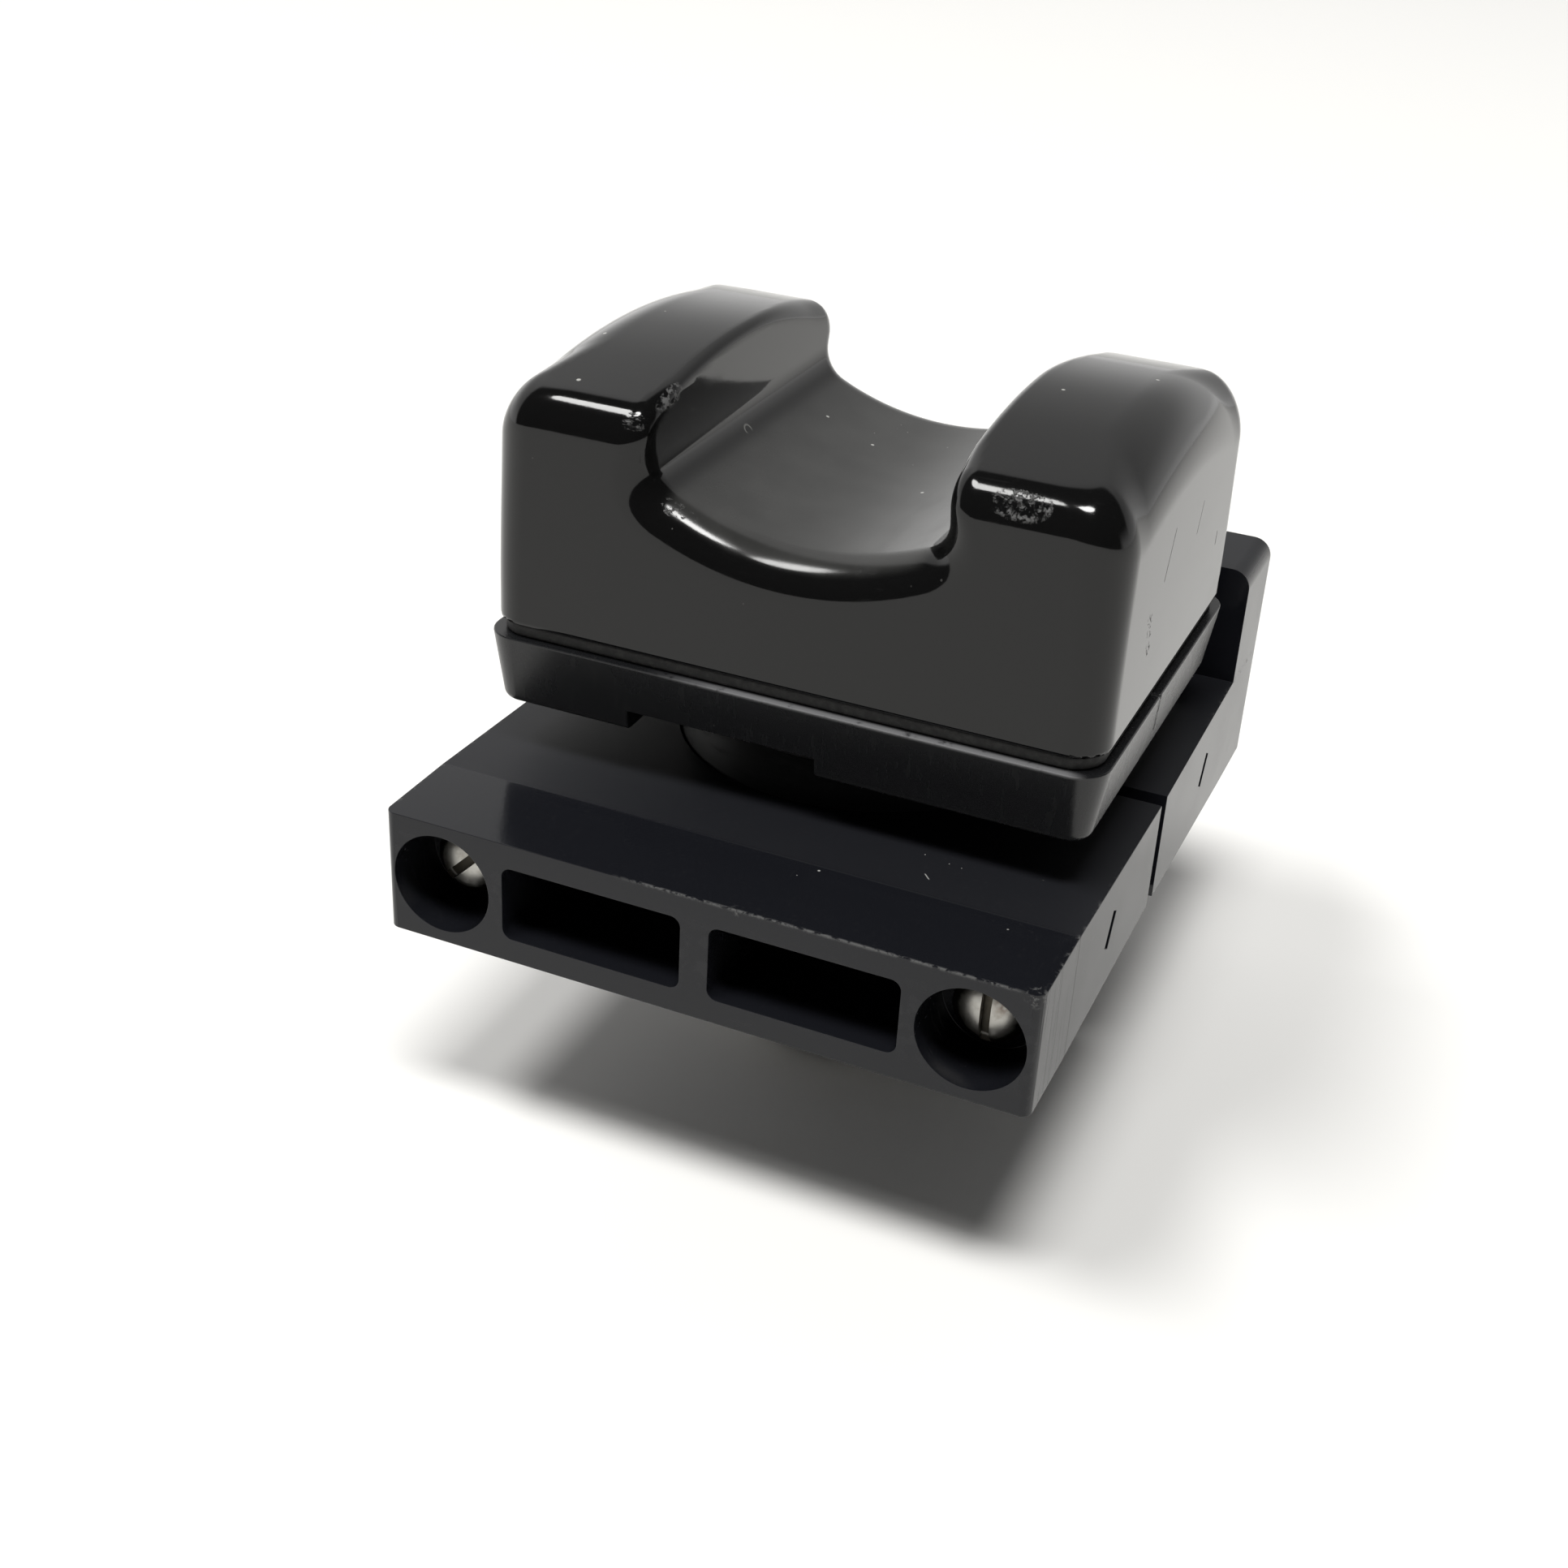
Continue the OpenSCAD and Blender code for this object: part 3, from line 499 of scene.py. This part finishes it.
rim_z = 1000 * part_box("housing_seal")[0].z
neck_top_z, draft, draft_height = 38.0, 0.45, 7.0
base = Finish("base plastic", (0.0085, 0.0088, 0.0098), 0.2)
sheen, hairs = moulded(base, 0.45, 0.003, 0.6, 0.4)
at_rim = base.z.near(rim_z, 0.42)
wear = at_rim * base.noise(0.7, 4.0, 0.65).ramp(0.28, 0.46) * base.y.ramp(-21.4, -22.3)
wear = wear * base.x.ramp(-14.0, -3.0) * base.x.ramp(29.3, 27.0)
base.paint(wear * 0.42, (0.34, 0.34, 0.35))
nick = base.stroke(base.y, base.z, (-3.6, 45.9), (-1.2, 41.0), 0.45)
nick = nick * base.noise(1.8, 4.0, 0.7).ramp(0.42, 0.52) * base.x.ramp(29.0, 29.6)
base.bump(-nick, 0.25)
base.paint(nick * 0.9, (0.002, 0.002, 0.002))
streaks = base.noise(0.6, 3.0, 0.6, base.stretched(3.0, 3.0, 0.35)).ramp(0.55, 0.72)
base.paint(streaks * base.facing[2].near(0.0, 0.7) * 0.006, (0.4, 0.4, 0.38))
base.set("Roughness", 0.22 + sheen * 0.1 + wear * 0.3 + streaks * 0.04 + nick * 0.4)


def part_way(value, start, length):
    """0 up to the start, 1 from that length on, straight in between."""
    return min(1.0, max(0.0, (value - start) / length))


piece = copy_of("base", "base-with-neck", 0.22, 3, 50.0, lambda p: p.z > neck_top_z)
for vertex in piece.data.vertices:
    x, y, z = (1000 * c for c in vertex.co)
    inward = draft / 1000 * part_way(rim_z - z, 0.0, draft_height)
    if z > neck_top_z:
        vertex.co.x -= math.copysign(inward * part_way(abs(x), 27.3, 3.0), x)
        vertex.co.y -= math.copysign(inward * part_way(abs(y), 19.4, 3.0), y)
settle(piece, "switch", base, "base_plastic", "base")


# Seal in the groove
# A flat black rubber gasket between base and housing, set back a little from both. Only its edge
# shows, dusty and slightly pressed out.

seal = Finish("gasket rubber", (0.014, 0.014, 0.014), 0.6)
seal.paint(seal.noise(1.3, 4.0, 0.7).ramp(0.42, 0.7) * 0.06, (0.3, 0.29, 0.27))
seal.set("Roughness", 0.5 + seal.noise(2.0, 2.0) * 0.3)
seal.bump(seal.noise(2.5, 3.0, 0.6), 0.03)
piece = copy_of("housing_seal", "groove-gasket", 0.3, 3, 40.0)
settle(piece, "switch", seal, "soft_rubber", "housing_seal")


# Upper housing
# One thick-walled moulding of glossy black plastic that lets the infrared beam through. Two arched
# towers stand on both sides of a rounded valley. Every outer edge is rolled and runs into the next.

def rounded_meet(first, second, radius):
    """Signed distance of where two solids meet, the edge between them rolled to that radius."""
    inner = np.maximum(first + radius, 0.0)
    outer = np.maximum(second + radius, 0.0)
    return np.minimum(np.maximum(first, second), -radius) + np.hypot(inner, outer)


def eased(t):
    """0 to 1 with a soft start and end, for t from 0 to 1."""
    t = np.clip(t, 0.0, 1.0)
    return t * t * (3.0 - 2.0 * t)


def box_distance(p, low, high):
    """Signed distance of points from a box between two corners."""
    middle, half = (np.array(low) + high) / 2, (np.array(high) - low) / 2
    q = np.abs(p - middle) - half
    return np.linalg.norm(np.maximum(q, 0.0), axis=1) + np.minimum(q.max(1), 0.0)


half_width, half_depth, housing_bottom, housing_top, side_lean = 30.15, 22.2, 47.1, 72.5, 0.2
arch_radius, arch_y = 77.0, -1.0
valley_radius, valley_z, wall_x, foot_radius = 28.0, 87.5, 13.9, 3.5
chamber_box = (-27.55, -19.6, 40.0), (27.55, 19.6, 56.9)
tower_box = (16.5, -16.6, 50.0), (25.55, 16.6, 68.3)


def housing_distance(p):
    """Distance from the housing's surface in millimetres, below 0 inside the plastic. The left half
    mirrors the right, so x is taken without its sign."""
    x, y, z = np.abs(p[:, 0]), p[:, 1], p[:, 2]
    lean = side_lean * (z - housing_bottom) / (housing_top - housing_bottom)
    side, face = x - half_width + lean, np.abs(y) - half_depth
    plan = rounded_meet(side, face, 3.7 + 0.9 * eased((z - 50.0) / 21.0))
    # The top edge is tight along the front and the rear and grows wide along the sides.
    on_side = eased((side - face + 5.0) / 12.0)
    arch = np.hypot(y - arch_y, z - housing_top + arch_radius) - arch_radius
    solid = rounded_meet(plan, arch, 3.1 + (3.3 + 0.4 * eased(y / 22.0)) * on_side)
    # The valley is a round floor, a small round at its foot and upright walls.
    floor = np.hypot(x, z - valley_z) - valley_radius
    foot_x = wall_x - foot_radius
    foot_z = valley_z - math.sqrt((valley_radius - foot_radius) ** 2 - foot_x ** 2)
    foot = np.hypot(x - foot_x, z - foot_z) - foot_radius
    past_foot = x * (valley_z - foot_z) > (valley_z - z) * foot_x
    valley = np.where(z > foot_z, x - wall_x, np.where(past_foot, foot, floor))
    # Its edge is wide at the mouths, tighter up the corners and sharp along the towers' tops.
    within = eased((-face - 1.0) / 7.0) * eased((z - 61.0) / 6.0)
    ridge = 1.1 + 1.6 * eased((y - 1.0) / 19.0)
    mouth = 3.9 - 1.7 * eased((z - 61.0) / 9.0)
    solid = rounded_meet(solid, -valley, mouth + (ridge - mouth) * within)
    solid = rounded_meet(solid, housing_bottom - z, 0.3)
    chamber = box_distance(p, *chamber_box)
    towers = box_distance(np.stack([x, y, z], 1), *tower_box)
    return np.maximum(np.maximum(solid, -chamber), -towers)


def slope(p, step=0.01):
    """The direction in which the distance grows, which is outward on the skin."""
    return np.stack([(housing_distance(p + d) - housing_distance(p - d)) / (2 * step)
                     for d in np.eye(3) * step], 1)


piece = copy_of("upper_housing", "upper-housing")
remesh = piece.modifiers.new("even skin", "REMESH")
remesh.mode = "VOXEL"
fine_voxel, quick_voxel = 0.00046, 0.0009
remesh.voxel_size = fine_voxel
plain_mesh(piece)
count = len(piece.data.vertices)
points = np.empty(count * 3)
piece.data.vertices.foreach_get("co", points)
points = points.reshape(-1, 3) * 1000
for turn in range(8):
    gradient = slope(points)
    length = np.maximum(np.linalg.norm(gradient, axis=1), 0.3)[:, None]
    points -= 0.9 * housing_distance(points)[:, None] * gradient / length ** 2
low, high = (1000 * np.array(c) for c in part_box("upper_housing"))
points = np.clip(points, low, high)
piece.data.vertices.foreach_set("co", (points / 1000).ravel())
piece.data.polygons.foreach_set("use_smooth", [True] * len(piece.data.polygons))
normals = slope(points, 0.03)
normals /= np.maximum(np.linalg.norm(normals, axis=1), 1e-6)[:, None]
piece.data.update()
piece.data.normals_split_custom_set_from_vertices(normals.tolist())

gloss = Finish("glossy infrared-clear plastic", (0.0045, 0.0045, 0.0046), 0.1, 0.0, 1.42)
sheen, hairs = moulded(gloss, 0.5, 0.0018, 0.35, 0.35)
x, y, z = gloss.x, gloss.y, gloss.z
# Scuffs where hands and tools knock the front edges, then chips, flecks and side scratches.
rough_patch = gloss.noise(1.6, 5.0, 0.75).ramp(0.5, 0.6)
scuffs = (x.near(20.4, 3.6) * y.near(-21.4, 1.5) * z.near(68.6, 1.9)).ramp(0.12, 0.4) * rough_patch
chipped = (x.near(-15.2, 1.9) * y.near(-21.2, 1.2) * z.near(69.0, 1.1)).ramp(0.1, 0.6)
chipped = chipped * gloss.noise(2.4, 5.0, 0.75, gloss.stretched(0.5, 1.0, 1.6)).ramp(0.52, 0.6)
scuffs = scuffs.larger(chipped)
chipped = (x.near(-14.1, 0.7) * y.near(-17.2, 3.4) * z.near(70.7, 2.0)).ramp(0.1, 0.4)
scuffs = scuffs.larger(chipped * gloss.noise(1.3, 5.0, 0.75).ramp(0.5, 0.56))
lip = (x.near(-10.3, 3.4) * y.near(-20.6, 1.5) * z.near(62.3, 2.4)).ramp(0.12, 0.4)
scuffs = scuffs.larger(lip * gloss.noise(1.1, 5.0, 0.75).ramp(0.54, 0.62))
far = (x.near(-11.5, 2.0) * y.near(19.0, 3.0) * z.near(70.5, 2.5)).ramp(0.2, 0.5)
scuffs = scuffs.larger(far * gloss.noise(1.5, 4.0, 0.7).ramp(0.55, 0.64))
gloss.paint(scuffs * 0.3, (0.42, 0.42, 0.42))
gloss.bump(scuffs * gloss.noise(3.0, 4.0, 0.7), 0.14)
flecks = gloss.spot((-25.1, -8.5, 72.1), 0.3).larger(gloss.spot((-22.6, -18.0, 70.6), 0.26))
for centre in ((17.6, -2.4, 72.5), (-9.6, 10.0, 61.2), (-4.0, 8.4, 59.8), (5.0, -1.6, 60.0),
               (24.0, 6.0, 72.2)):
    flecks = flecks.larger(gloss.spot(centre, 0.22))
curl = (-12.9, -2.0, 62.85)
fibre = (gloss.spot(curl, 0.75) - gloss.spot(curl, 0.6) * 1.5).larger(0.0)
flecks = flecks.larger(fibre * x.ramp(-12.6, -13.0))
gloss.paint(flecks * 0.75, (0.55, 0.55, 0.52))
marks = gloss.stroke(y, z, (5.4, 61.9), (4.0, 59.1), 0.1)
marks = marks.larger(gloss.stroke(y, z, (-5.1, 62.9), (-7.3, 58.6), 0.1))
marks = marks.larger(gloss.stroke(y, z, (13.8, 55.9), (13.6, 54.6), 0.12))
nicks = gloss.stroke(y, z, (-11.2, 57.0), (-10.2, 52.8), 0.9)
nicks = nicks * gloss.noise(2.2, 3.0, 0.6).ramp(0.56, 0.6)
marks = marks.larger(nicks) * x.ramp(27.5, 28.5)
gloss.paint(marks * 0.9, (0.002, 0.002, 0.002))
gloss.bump(-marks, 0.08)
# Fine dust dulls the floor of the valley. Its colour is painted paler, partly as dust and partly as
# a painted reflection.
valley_dust_and_sheen = abs(x).ramp(13.5, 11.0) * z.ramp(66.0, 63.0) * gloss.facing[2].ramp(0.6, 0.9)
gloss.paint(valley_dust_and_sheen * (gloss.noise(0.15, 3.0).ramp(0.2, 0.8) * 0.03 + 0.045), (0.45, 0.45, 0.43))
wipe = gloss.noise(0.35, 3.0, 0.6, gloss.stretched(1.0, 0.3, 1.0, (0.0, 0.0, 0.5)))
gloss.set("Roughness", (
    0.045 + sheen * 0.07 + valley_dust_and_sheen * 0.12 + wipe.ramp(0.45, 0.75) * 0.05
    + hairs * 0.12 + scuffs * 0.35 + marks * 0.5))
settle(piece, "switch", gloss, "housing_gloss", "upper_housing")


# Neck hardware under the ball
# A soft ring under the base, then below the ball a toothed lock washer of plated steel and a large
# black nut that pulls the switch down on the ball.

ring = Finish("neck seal rubber", (0.011, 0.011, 0.0115), 0.65)
ring.bump(ring.noise(2.0, 3.0, 0.6), 0.02)
ring.paint(ring.noise(1.1, 3.0).ramp(0.5, 0.7) * 0.1, (0.25, 0.25, 0.24))
settle(copy_of("neck_seal", "neck-seal", 0.2, 3, 40.0), "switch", ring, "soft_rubber", "neck_seal")

toothed = Finish("plated lock washer steel", (0.5, 0.49, 0.46), 0.34, 1.0)
toothed.set("Roughness", 0.28 + toothed.noise(1.5, 4.0, 0.6) * 0.2)
toothed.paint(toothed.noise(0.4, 4.0, 0.6).ramp(0.45, 0.7) * 0.4, (0.3, 0.28, 0.24))
toothed.bump(toothed.noise(5.0, 2.0), 0.008)
piece = copy_of("lock_washer", "lock-washer", 0.12, 2, 40.0)
settle(piece, "switch", toothed, "plated_steel", "lock_washer")

nut = Finish("lock nut plastic", (0.010, 0.010, 0.011), 0.34)
sheen, hairs = moulded(nut, 0.6, 0.006, 0.3, 0.5)
nut.set("Roughness", 0.3 + sheen * 0.15 + hairs * 0.1)
settle(copy_of("lock_nut", "lock-nut", 0.35, 3, 30.0), "switch", nut, "base_plastic", "lock_nut")


# Connector
# A quick-disconnect plug moulded into the neck: a plated shell with a coupling thread, a sealing
# ring in the relief above it, and a black insert with a key and five round contacts.

crest, root, pitch, thread_foot, thread_top = 11.1, 10.45, 1.5875, 0.7, 6.9
inside, relief_r, collar_r, body_r = 8.9, 10.5, 13.4, 11.1
outline = [(inside, 0.35), (inside + 0.3, 0.0), (crest - 0.7, 0.0), (crest, 0.65),
           (crest, thread_top), (relief_r, 7.2), (relief_r, 8.35), (collar_r - 0.15, 8.4),
           (collar_r, 8.55), (collar_r, 9.85), (collar_r - 0.15, 10.0), (body_r - 0.05, 10.0),
           (body_r, 10.1), (body_r, 15.9), (body_r - 0.1, 16.0), (inside, 16.0)]
profile = threaded(outline, crest, pitch, thread_foot, thread_top, 8)
shell = lathe("connector-shell", profile, 96)
wind(shell, crest, root, pitch, thread_foot, thread_top)
shell_metal = Finish("nickel-plated brass", (0.56, 0.54, 0.5), 0.22, 1.0)
turned = shell_metal.noise(1.0, 3.0, 0.6, shell_metal.stretched(0.3, 0.3, 6.0))
shell_metal.set("Roughness", 0.17 + turned * 0.2)
shell_metal.paint(shell_metal.noise(0.45, 4.0, 0.65).ramp(0.5, 0.75) * 0.45, (0.3, 0.27, 0.22))
shell_metal.bump(turned, 0.006)
settle(shell, "switch", shell_metal, "plated_shell", "connector_shell")

repaint("connector_seal", ring)

insert = Finish("insert plastic", (0.013, 0.013, 0.013), 0.5)
insert.bump(insert.noise(2.5, 3.0, 0.6), 0.012)
insert.paint(insert.noise(1.2, 4.0, 0.6).ramp(0.5, 0.72) * 0.1, (0.2, 0.2, 0.19))
insert.set("Roughness", 0.42 + insert.noise(0.8, 3.0) * 0.2)
piece = copy_of("connector_insert", "connector-insert", 0.12, 2, 45.0)
settle(piece, "switch", insert, "insert_plastic", "connector_insert")

contact = Finish("gold-flashed contact brass", (0.72, 0.5, 0.2), 0.2, 1.0)
contact.set("Roughness", 0.14 + contact.noise(2.0, 3.0) * 0.18)
contact.paint(contact.noise(1.1, 4.0, 0.6).ramp(0.52, 0.72) * 0.35, (0.4, 0.24, 0.1))
contact.bump(contact.noise(1.5, 2.0, 0.5, contact.stretched(1.0, 1.0, 5.0)), 0.004)
pins_low, pins_high = (1000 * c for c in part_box("connector_pins"))
pins_turn = math.radians(18)
pins_ring = (pins_high.y - pins_high.x) / (1 - math.cos(pins_turn))
pin_r = pins_high.y - pins_ring
tip, tail = pins_low.z, pins_high.z
pins = lathe("contact-pins", [
    (0.0, tip), (0.45 * pin_r, tip + 0.03), (0.8 * pin_r, tip + 0.15), (pin_r, tip + 0.5),
    (pin_r, tail - 0.12), (pin_r - 0.12, tail), (0.0, tail)], 32)
repeated(pins, "GeometryNodeMeshCircle", contact, {"Vertices": 5, "Radius": pins_ring / 1000})
pins.data.transform(Matrix.Rotation(pins_turn, 4, "Z"))
settle(smooth(pins), "switch", contact, "contact_brass", "connector_pins")


# Leads and resin
# Five thin leads run from the contacts to the main board through the neck, which is filled with
# cast resin. Each lead has a jacket of its own colour.

jacket = Finish("lead jackets", (0.1, 0.1, 0.1), 0.4)
angle = jacket.y.math("ARCTAN2", jacket.x)
for turn, colour in ((90, (0.17, 0.06, 0.02)), (162, (0.75, 0.75, 0.7)), (-126, (0.02, 0.06, 0.3)),
                     (-54, (0.012, 0.012, 0.012)), (18, (0.28, 0.28, 0.28))):
    jacket.paint(angle.near(math.radians(turn), 0.5).ramp(0.05, 0.2), colour)
jacket.set("Roughness", 0.36 + jacket.noise(1.5, 3.0) * 0.15)
jacket.bump(jacket.noise(2.5, 2.0), 0.01)
repaint("lead_wires", jacket)

resin = Finish("cast resin", (0.03, 0.027, 0.024), 0.35)
resin.paint(resin.noise(0.5, 4.0, 0.6).ramp(0.4, 0.7) * 0.4, (0.06, 0.055, 0.05))
resin.bump(resin.specks(0.9, 0.2, 0.25), 0.1)
resin.set("Roughness", 0.25 + resin.noise(0.6, 3.0) * 0.25)
repaint("neck_potting", resin)


# Circuit boards
# A main board lies in the base and one small board stands in each tower. Green mask over tracks,
# with tinned pads and a bare glass edge.

board = Finish("green circuit board", (0.012, 0.09, 0.035), 0.28)
weave = board.noise(2.2, 2.0, 0.5, board.stretched(3.0, 0.4, 1.0))
cells = board.node("TexVoronoi", {"feature": "DISTANCE_TO_EDGE", "distance": "MANHATTAN"},
                   {"Vector": board.stretched(1.0, 0.45, 0.45), "Scale": 0.32})
tracks = Term(board, cells.outputs["Distance"]).near(0.12, 0.05)
pads = board.specks(0.4, 0.28, 0.3)
board.paint(tracks * 0.8, (0.02, 0.16, 0.06))
board.paint(pads, (0.6, 0.58, 0.54))
board.bump(tracks.larger(pads), 0.04)
board.set("Roughness", 0.24 + weave * 0.14)
board.set("Metallic", pads * 0.9)
for node in ("main_board", "emitter_board", "receiver_board"):
    repaint(node, board)

header = Finish("header plastic", (0.016, 0.016, 0.017), 0.45)
header.bump(header.y.math("PINGPONG", 1.27).ramp(0.9, 1.2), -0.2)
header.paint(header.noise(1.5, 3.0).ramp(0.5, 0.7) * 0.15, (0.1, 0.1, 0.1))
header.set("Roughness", 0.4 + header.noise(2.0, 2.0) * 0.15)
piece = copy_of("board_headers", "board-headers", 0.15, 2, 40.0)
settle(piece, "switch", header, "chip_black", "board_headers")


# Emitter and receiver
# Two round infrared diodes face each other across the valley. The emitter is clear with a blue
# tint and the receiver is dark.

for node, name, colour, through in (
        ("emitter_diode", "emitter-diode", (0.55, 0.62, 0.85), 0.85),
        ("receiver_diode", "receiver-diode", (0.03, 0.025, 0.04), 0.25)):
    lens = Finish(name.replace("-", " ") + " lens", colour, 0.08, 0.0, 1.54)
    lens.set("Transmission Weight", through)
    lens.set("Roughness", 0.05 + lens.noise(1.5, 3.0) * 0.1)
    lens.paint(lens.noise(0.8, 3.0).ramp(0.5, 0.75) * 0.2, tuple(0.6 * c for c in colour))
    lens.bump(lens.noise(1.2, 2.0), 0.01)
    slot = "diode_clear" if through > 0.5 else "diode_dark"
    settle(copy_of(node, name, 0.12, 3, 45.0), "switch", lens, slot, node)


# Chip, transistors and capacitors
# Moulded black bodies with bent tinned legs, and two small aluminium cans. They are soldered to
# the main board.

package = Finish("moulded package", (0.014, 0.014, 0.015), 0.5)
package.paint(package.noise(3.0, 3.0, 0.6).ramp(0.4, 0.7) * 0.3, (0.03, 0.03, 0.03))
dimple = (package.x + 11.2).near(0.0, 0.55) * (package.y - 3.3).near(0.0, 0.55)
package.bump(package.noise(5.0, 2.0), 0.01)
package.bump(-dimple, 0.1)
outside = abs(package.y - 6.0).ramp(3.7, 3.85) * package.x.ramp(0.0, -1.0)
outside = outside.larger(package.x.ramp(6.0, 5.9) * package.x.ramp(4.0, 4.4))
package.paint(outside, (0.62, 0.61, 0.58))
package.set("Metallic", outside)
package.set("Roughness", 0.45 + package.noise(1.5, 3.0) * 0.15 - outside * 0.2)
for node, name in (("controller_chip", "controller-chip"),
                   ("output_transistors", "output-transistors")):
    settle(copy_of(node, name, 0.07, 2, 50.0), "switch", package, "chip_black", node)

can = Finish("capacitor can", (0.7, 0.7, 0.7), 0.25, 1.0)
foot = can.z.ramp(51.2, 51.1)
stripe = can.y.ramp(-10.2, -10.4) * can.z.ramp(54.0, 54.3)
can.paint(foot.larger(stripe), (0.02, 0.02, 0.02))
can.set("Metallic", 1.0 - foot.larger(stripe))
can.bump(can.z.near(51.9, 0.4) * -1.0, 0.3)
can.set("Roughness", 0.22 + can.noise(2.0, 3.0) * 0.15)
piece = copy_of("capacitors", "capacitor-cans", 0.3, 3, 50.0)
settle(piece, "switch", can, "can_aluminium", "capacitors")


# Studio
# The floor is a sheet of white paper, 1.6 m to each side. Pale light comes from behind and from
# the left, the room in front stays dark, and two wide soft lamps hang overhead.

floor_reach = 1.6
bm = bmesh.new()
bmesh.ops.create_grid(bm, x_segments=1, y_segments=1, size=floor_reach)
mesh = bpy.data.meshes.new("floor")
bm.to_mesh(mesh)
bm.free()
floor = bpy.data.objects.new("floor", mesh)
bpy.context.scene.collection.objects.link(floor)
paper = Finish("white paper", (0.9, 0.895, 0.88), 0.7)
paper.set("Specular IOR Level", 0.2)
floor.data.materials.append(paper.material)

world = bpy.data.worlds.new("room")
bpy.context.scene.world = world
world.use_nodes = True
sky = Wiring(world.node_tree)
toward = sky.node("TexCoord", {}, {}).outputs["Generated"]
across, ahead, up = sky.split(toward)
bright = (ahead * 0.85 - up * 0.5 - across * 0.35).ramp(-0.06, 0.08)
height = 0.56 + up.ramp(0.38, 0.04) * 0.37 + up.ramp(0.5, 0.85) * 0.3
bright = bright * height * (0.84 + across.ramp(-0.27, -0.6) * 0.62)
low_right = up.ramp(0.32, -0.04) * across.ramp(0.0, 0.35)
bright = bright.larger(up.ramp(0.08, -0.02).larger(low_right) * ahead.ramp(0.0, 0.2))
ground = sky.tree.nodes["Background"]
seen = sky.node("LightPath", {}, {}).outputs["Is Camera Ray"]
sky.put(ground.inputs["Strength"], (0.03 + bright).larger(seen))
ground.inputs["Color"].default_value = (1.0, 0.995, 0.985, 1.0)


lamp_distance, lamp_width, lamp_depth, aim_height = 4.0, 1.7, 0.8, 0.05
lamp_colour = (1.0, 0.995, 0.98)


def lamp(name, direction, power):
    """A soft lamp in that direction from the object, turned to face it."""
    data = bpy.data.lights.new(name, "AREA")
    data.shape = "ELLIPSE"
    data.size, data.size_y = lamp_width, lamp_depth
    data.energy = power
    data.color = lamp_colour
    obj = bpy.data.objects.new(name, data)
    bpy.context.scene.collection.objects.link(obj)
    aim = Vector((0.0, 0.0, aim_height))
    obj.location = Vector(direction).normalized() * lamp_distance + aim
    obj.rotation_mode = "QUATERNION"
    obj.rotation_quaternion = Vector(direction).to_track_quat("Z", "Y")


lamp("front-lamp", (0.09, -0.28, 0.955), 114.0)
lamp("left-lamp", (-0.36, -0.27, 0.89), 74.0)

camera = bpy.data.objects.new("camera", bpy.data.cameras.new("camera"))
bpy.context.scene.collection.objects.link(camera)
# The camera stands where the photo's stood, found from the bracket's known edges.
camera.data.lens = 48.3755
camera.data.sensor_width = 36.0
camera.matrix_world = Matrix((
    (0.912912, -0.237023, 0.332284, 0.0653257),
    (0.405173, 0.427992, -0.807872, -0.1782205),
    (0.049269, 0.872149, 0.486754, 0.1316748),
    (0.0, 0.0, 0.0, 1.0)))
camera.data.clip_start, camera.data.clip_end = 0.01, 50.0
bpy.context.scene.camera = camera
bpy.context.scene.view_settings.view_transform = "Standard"
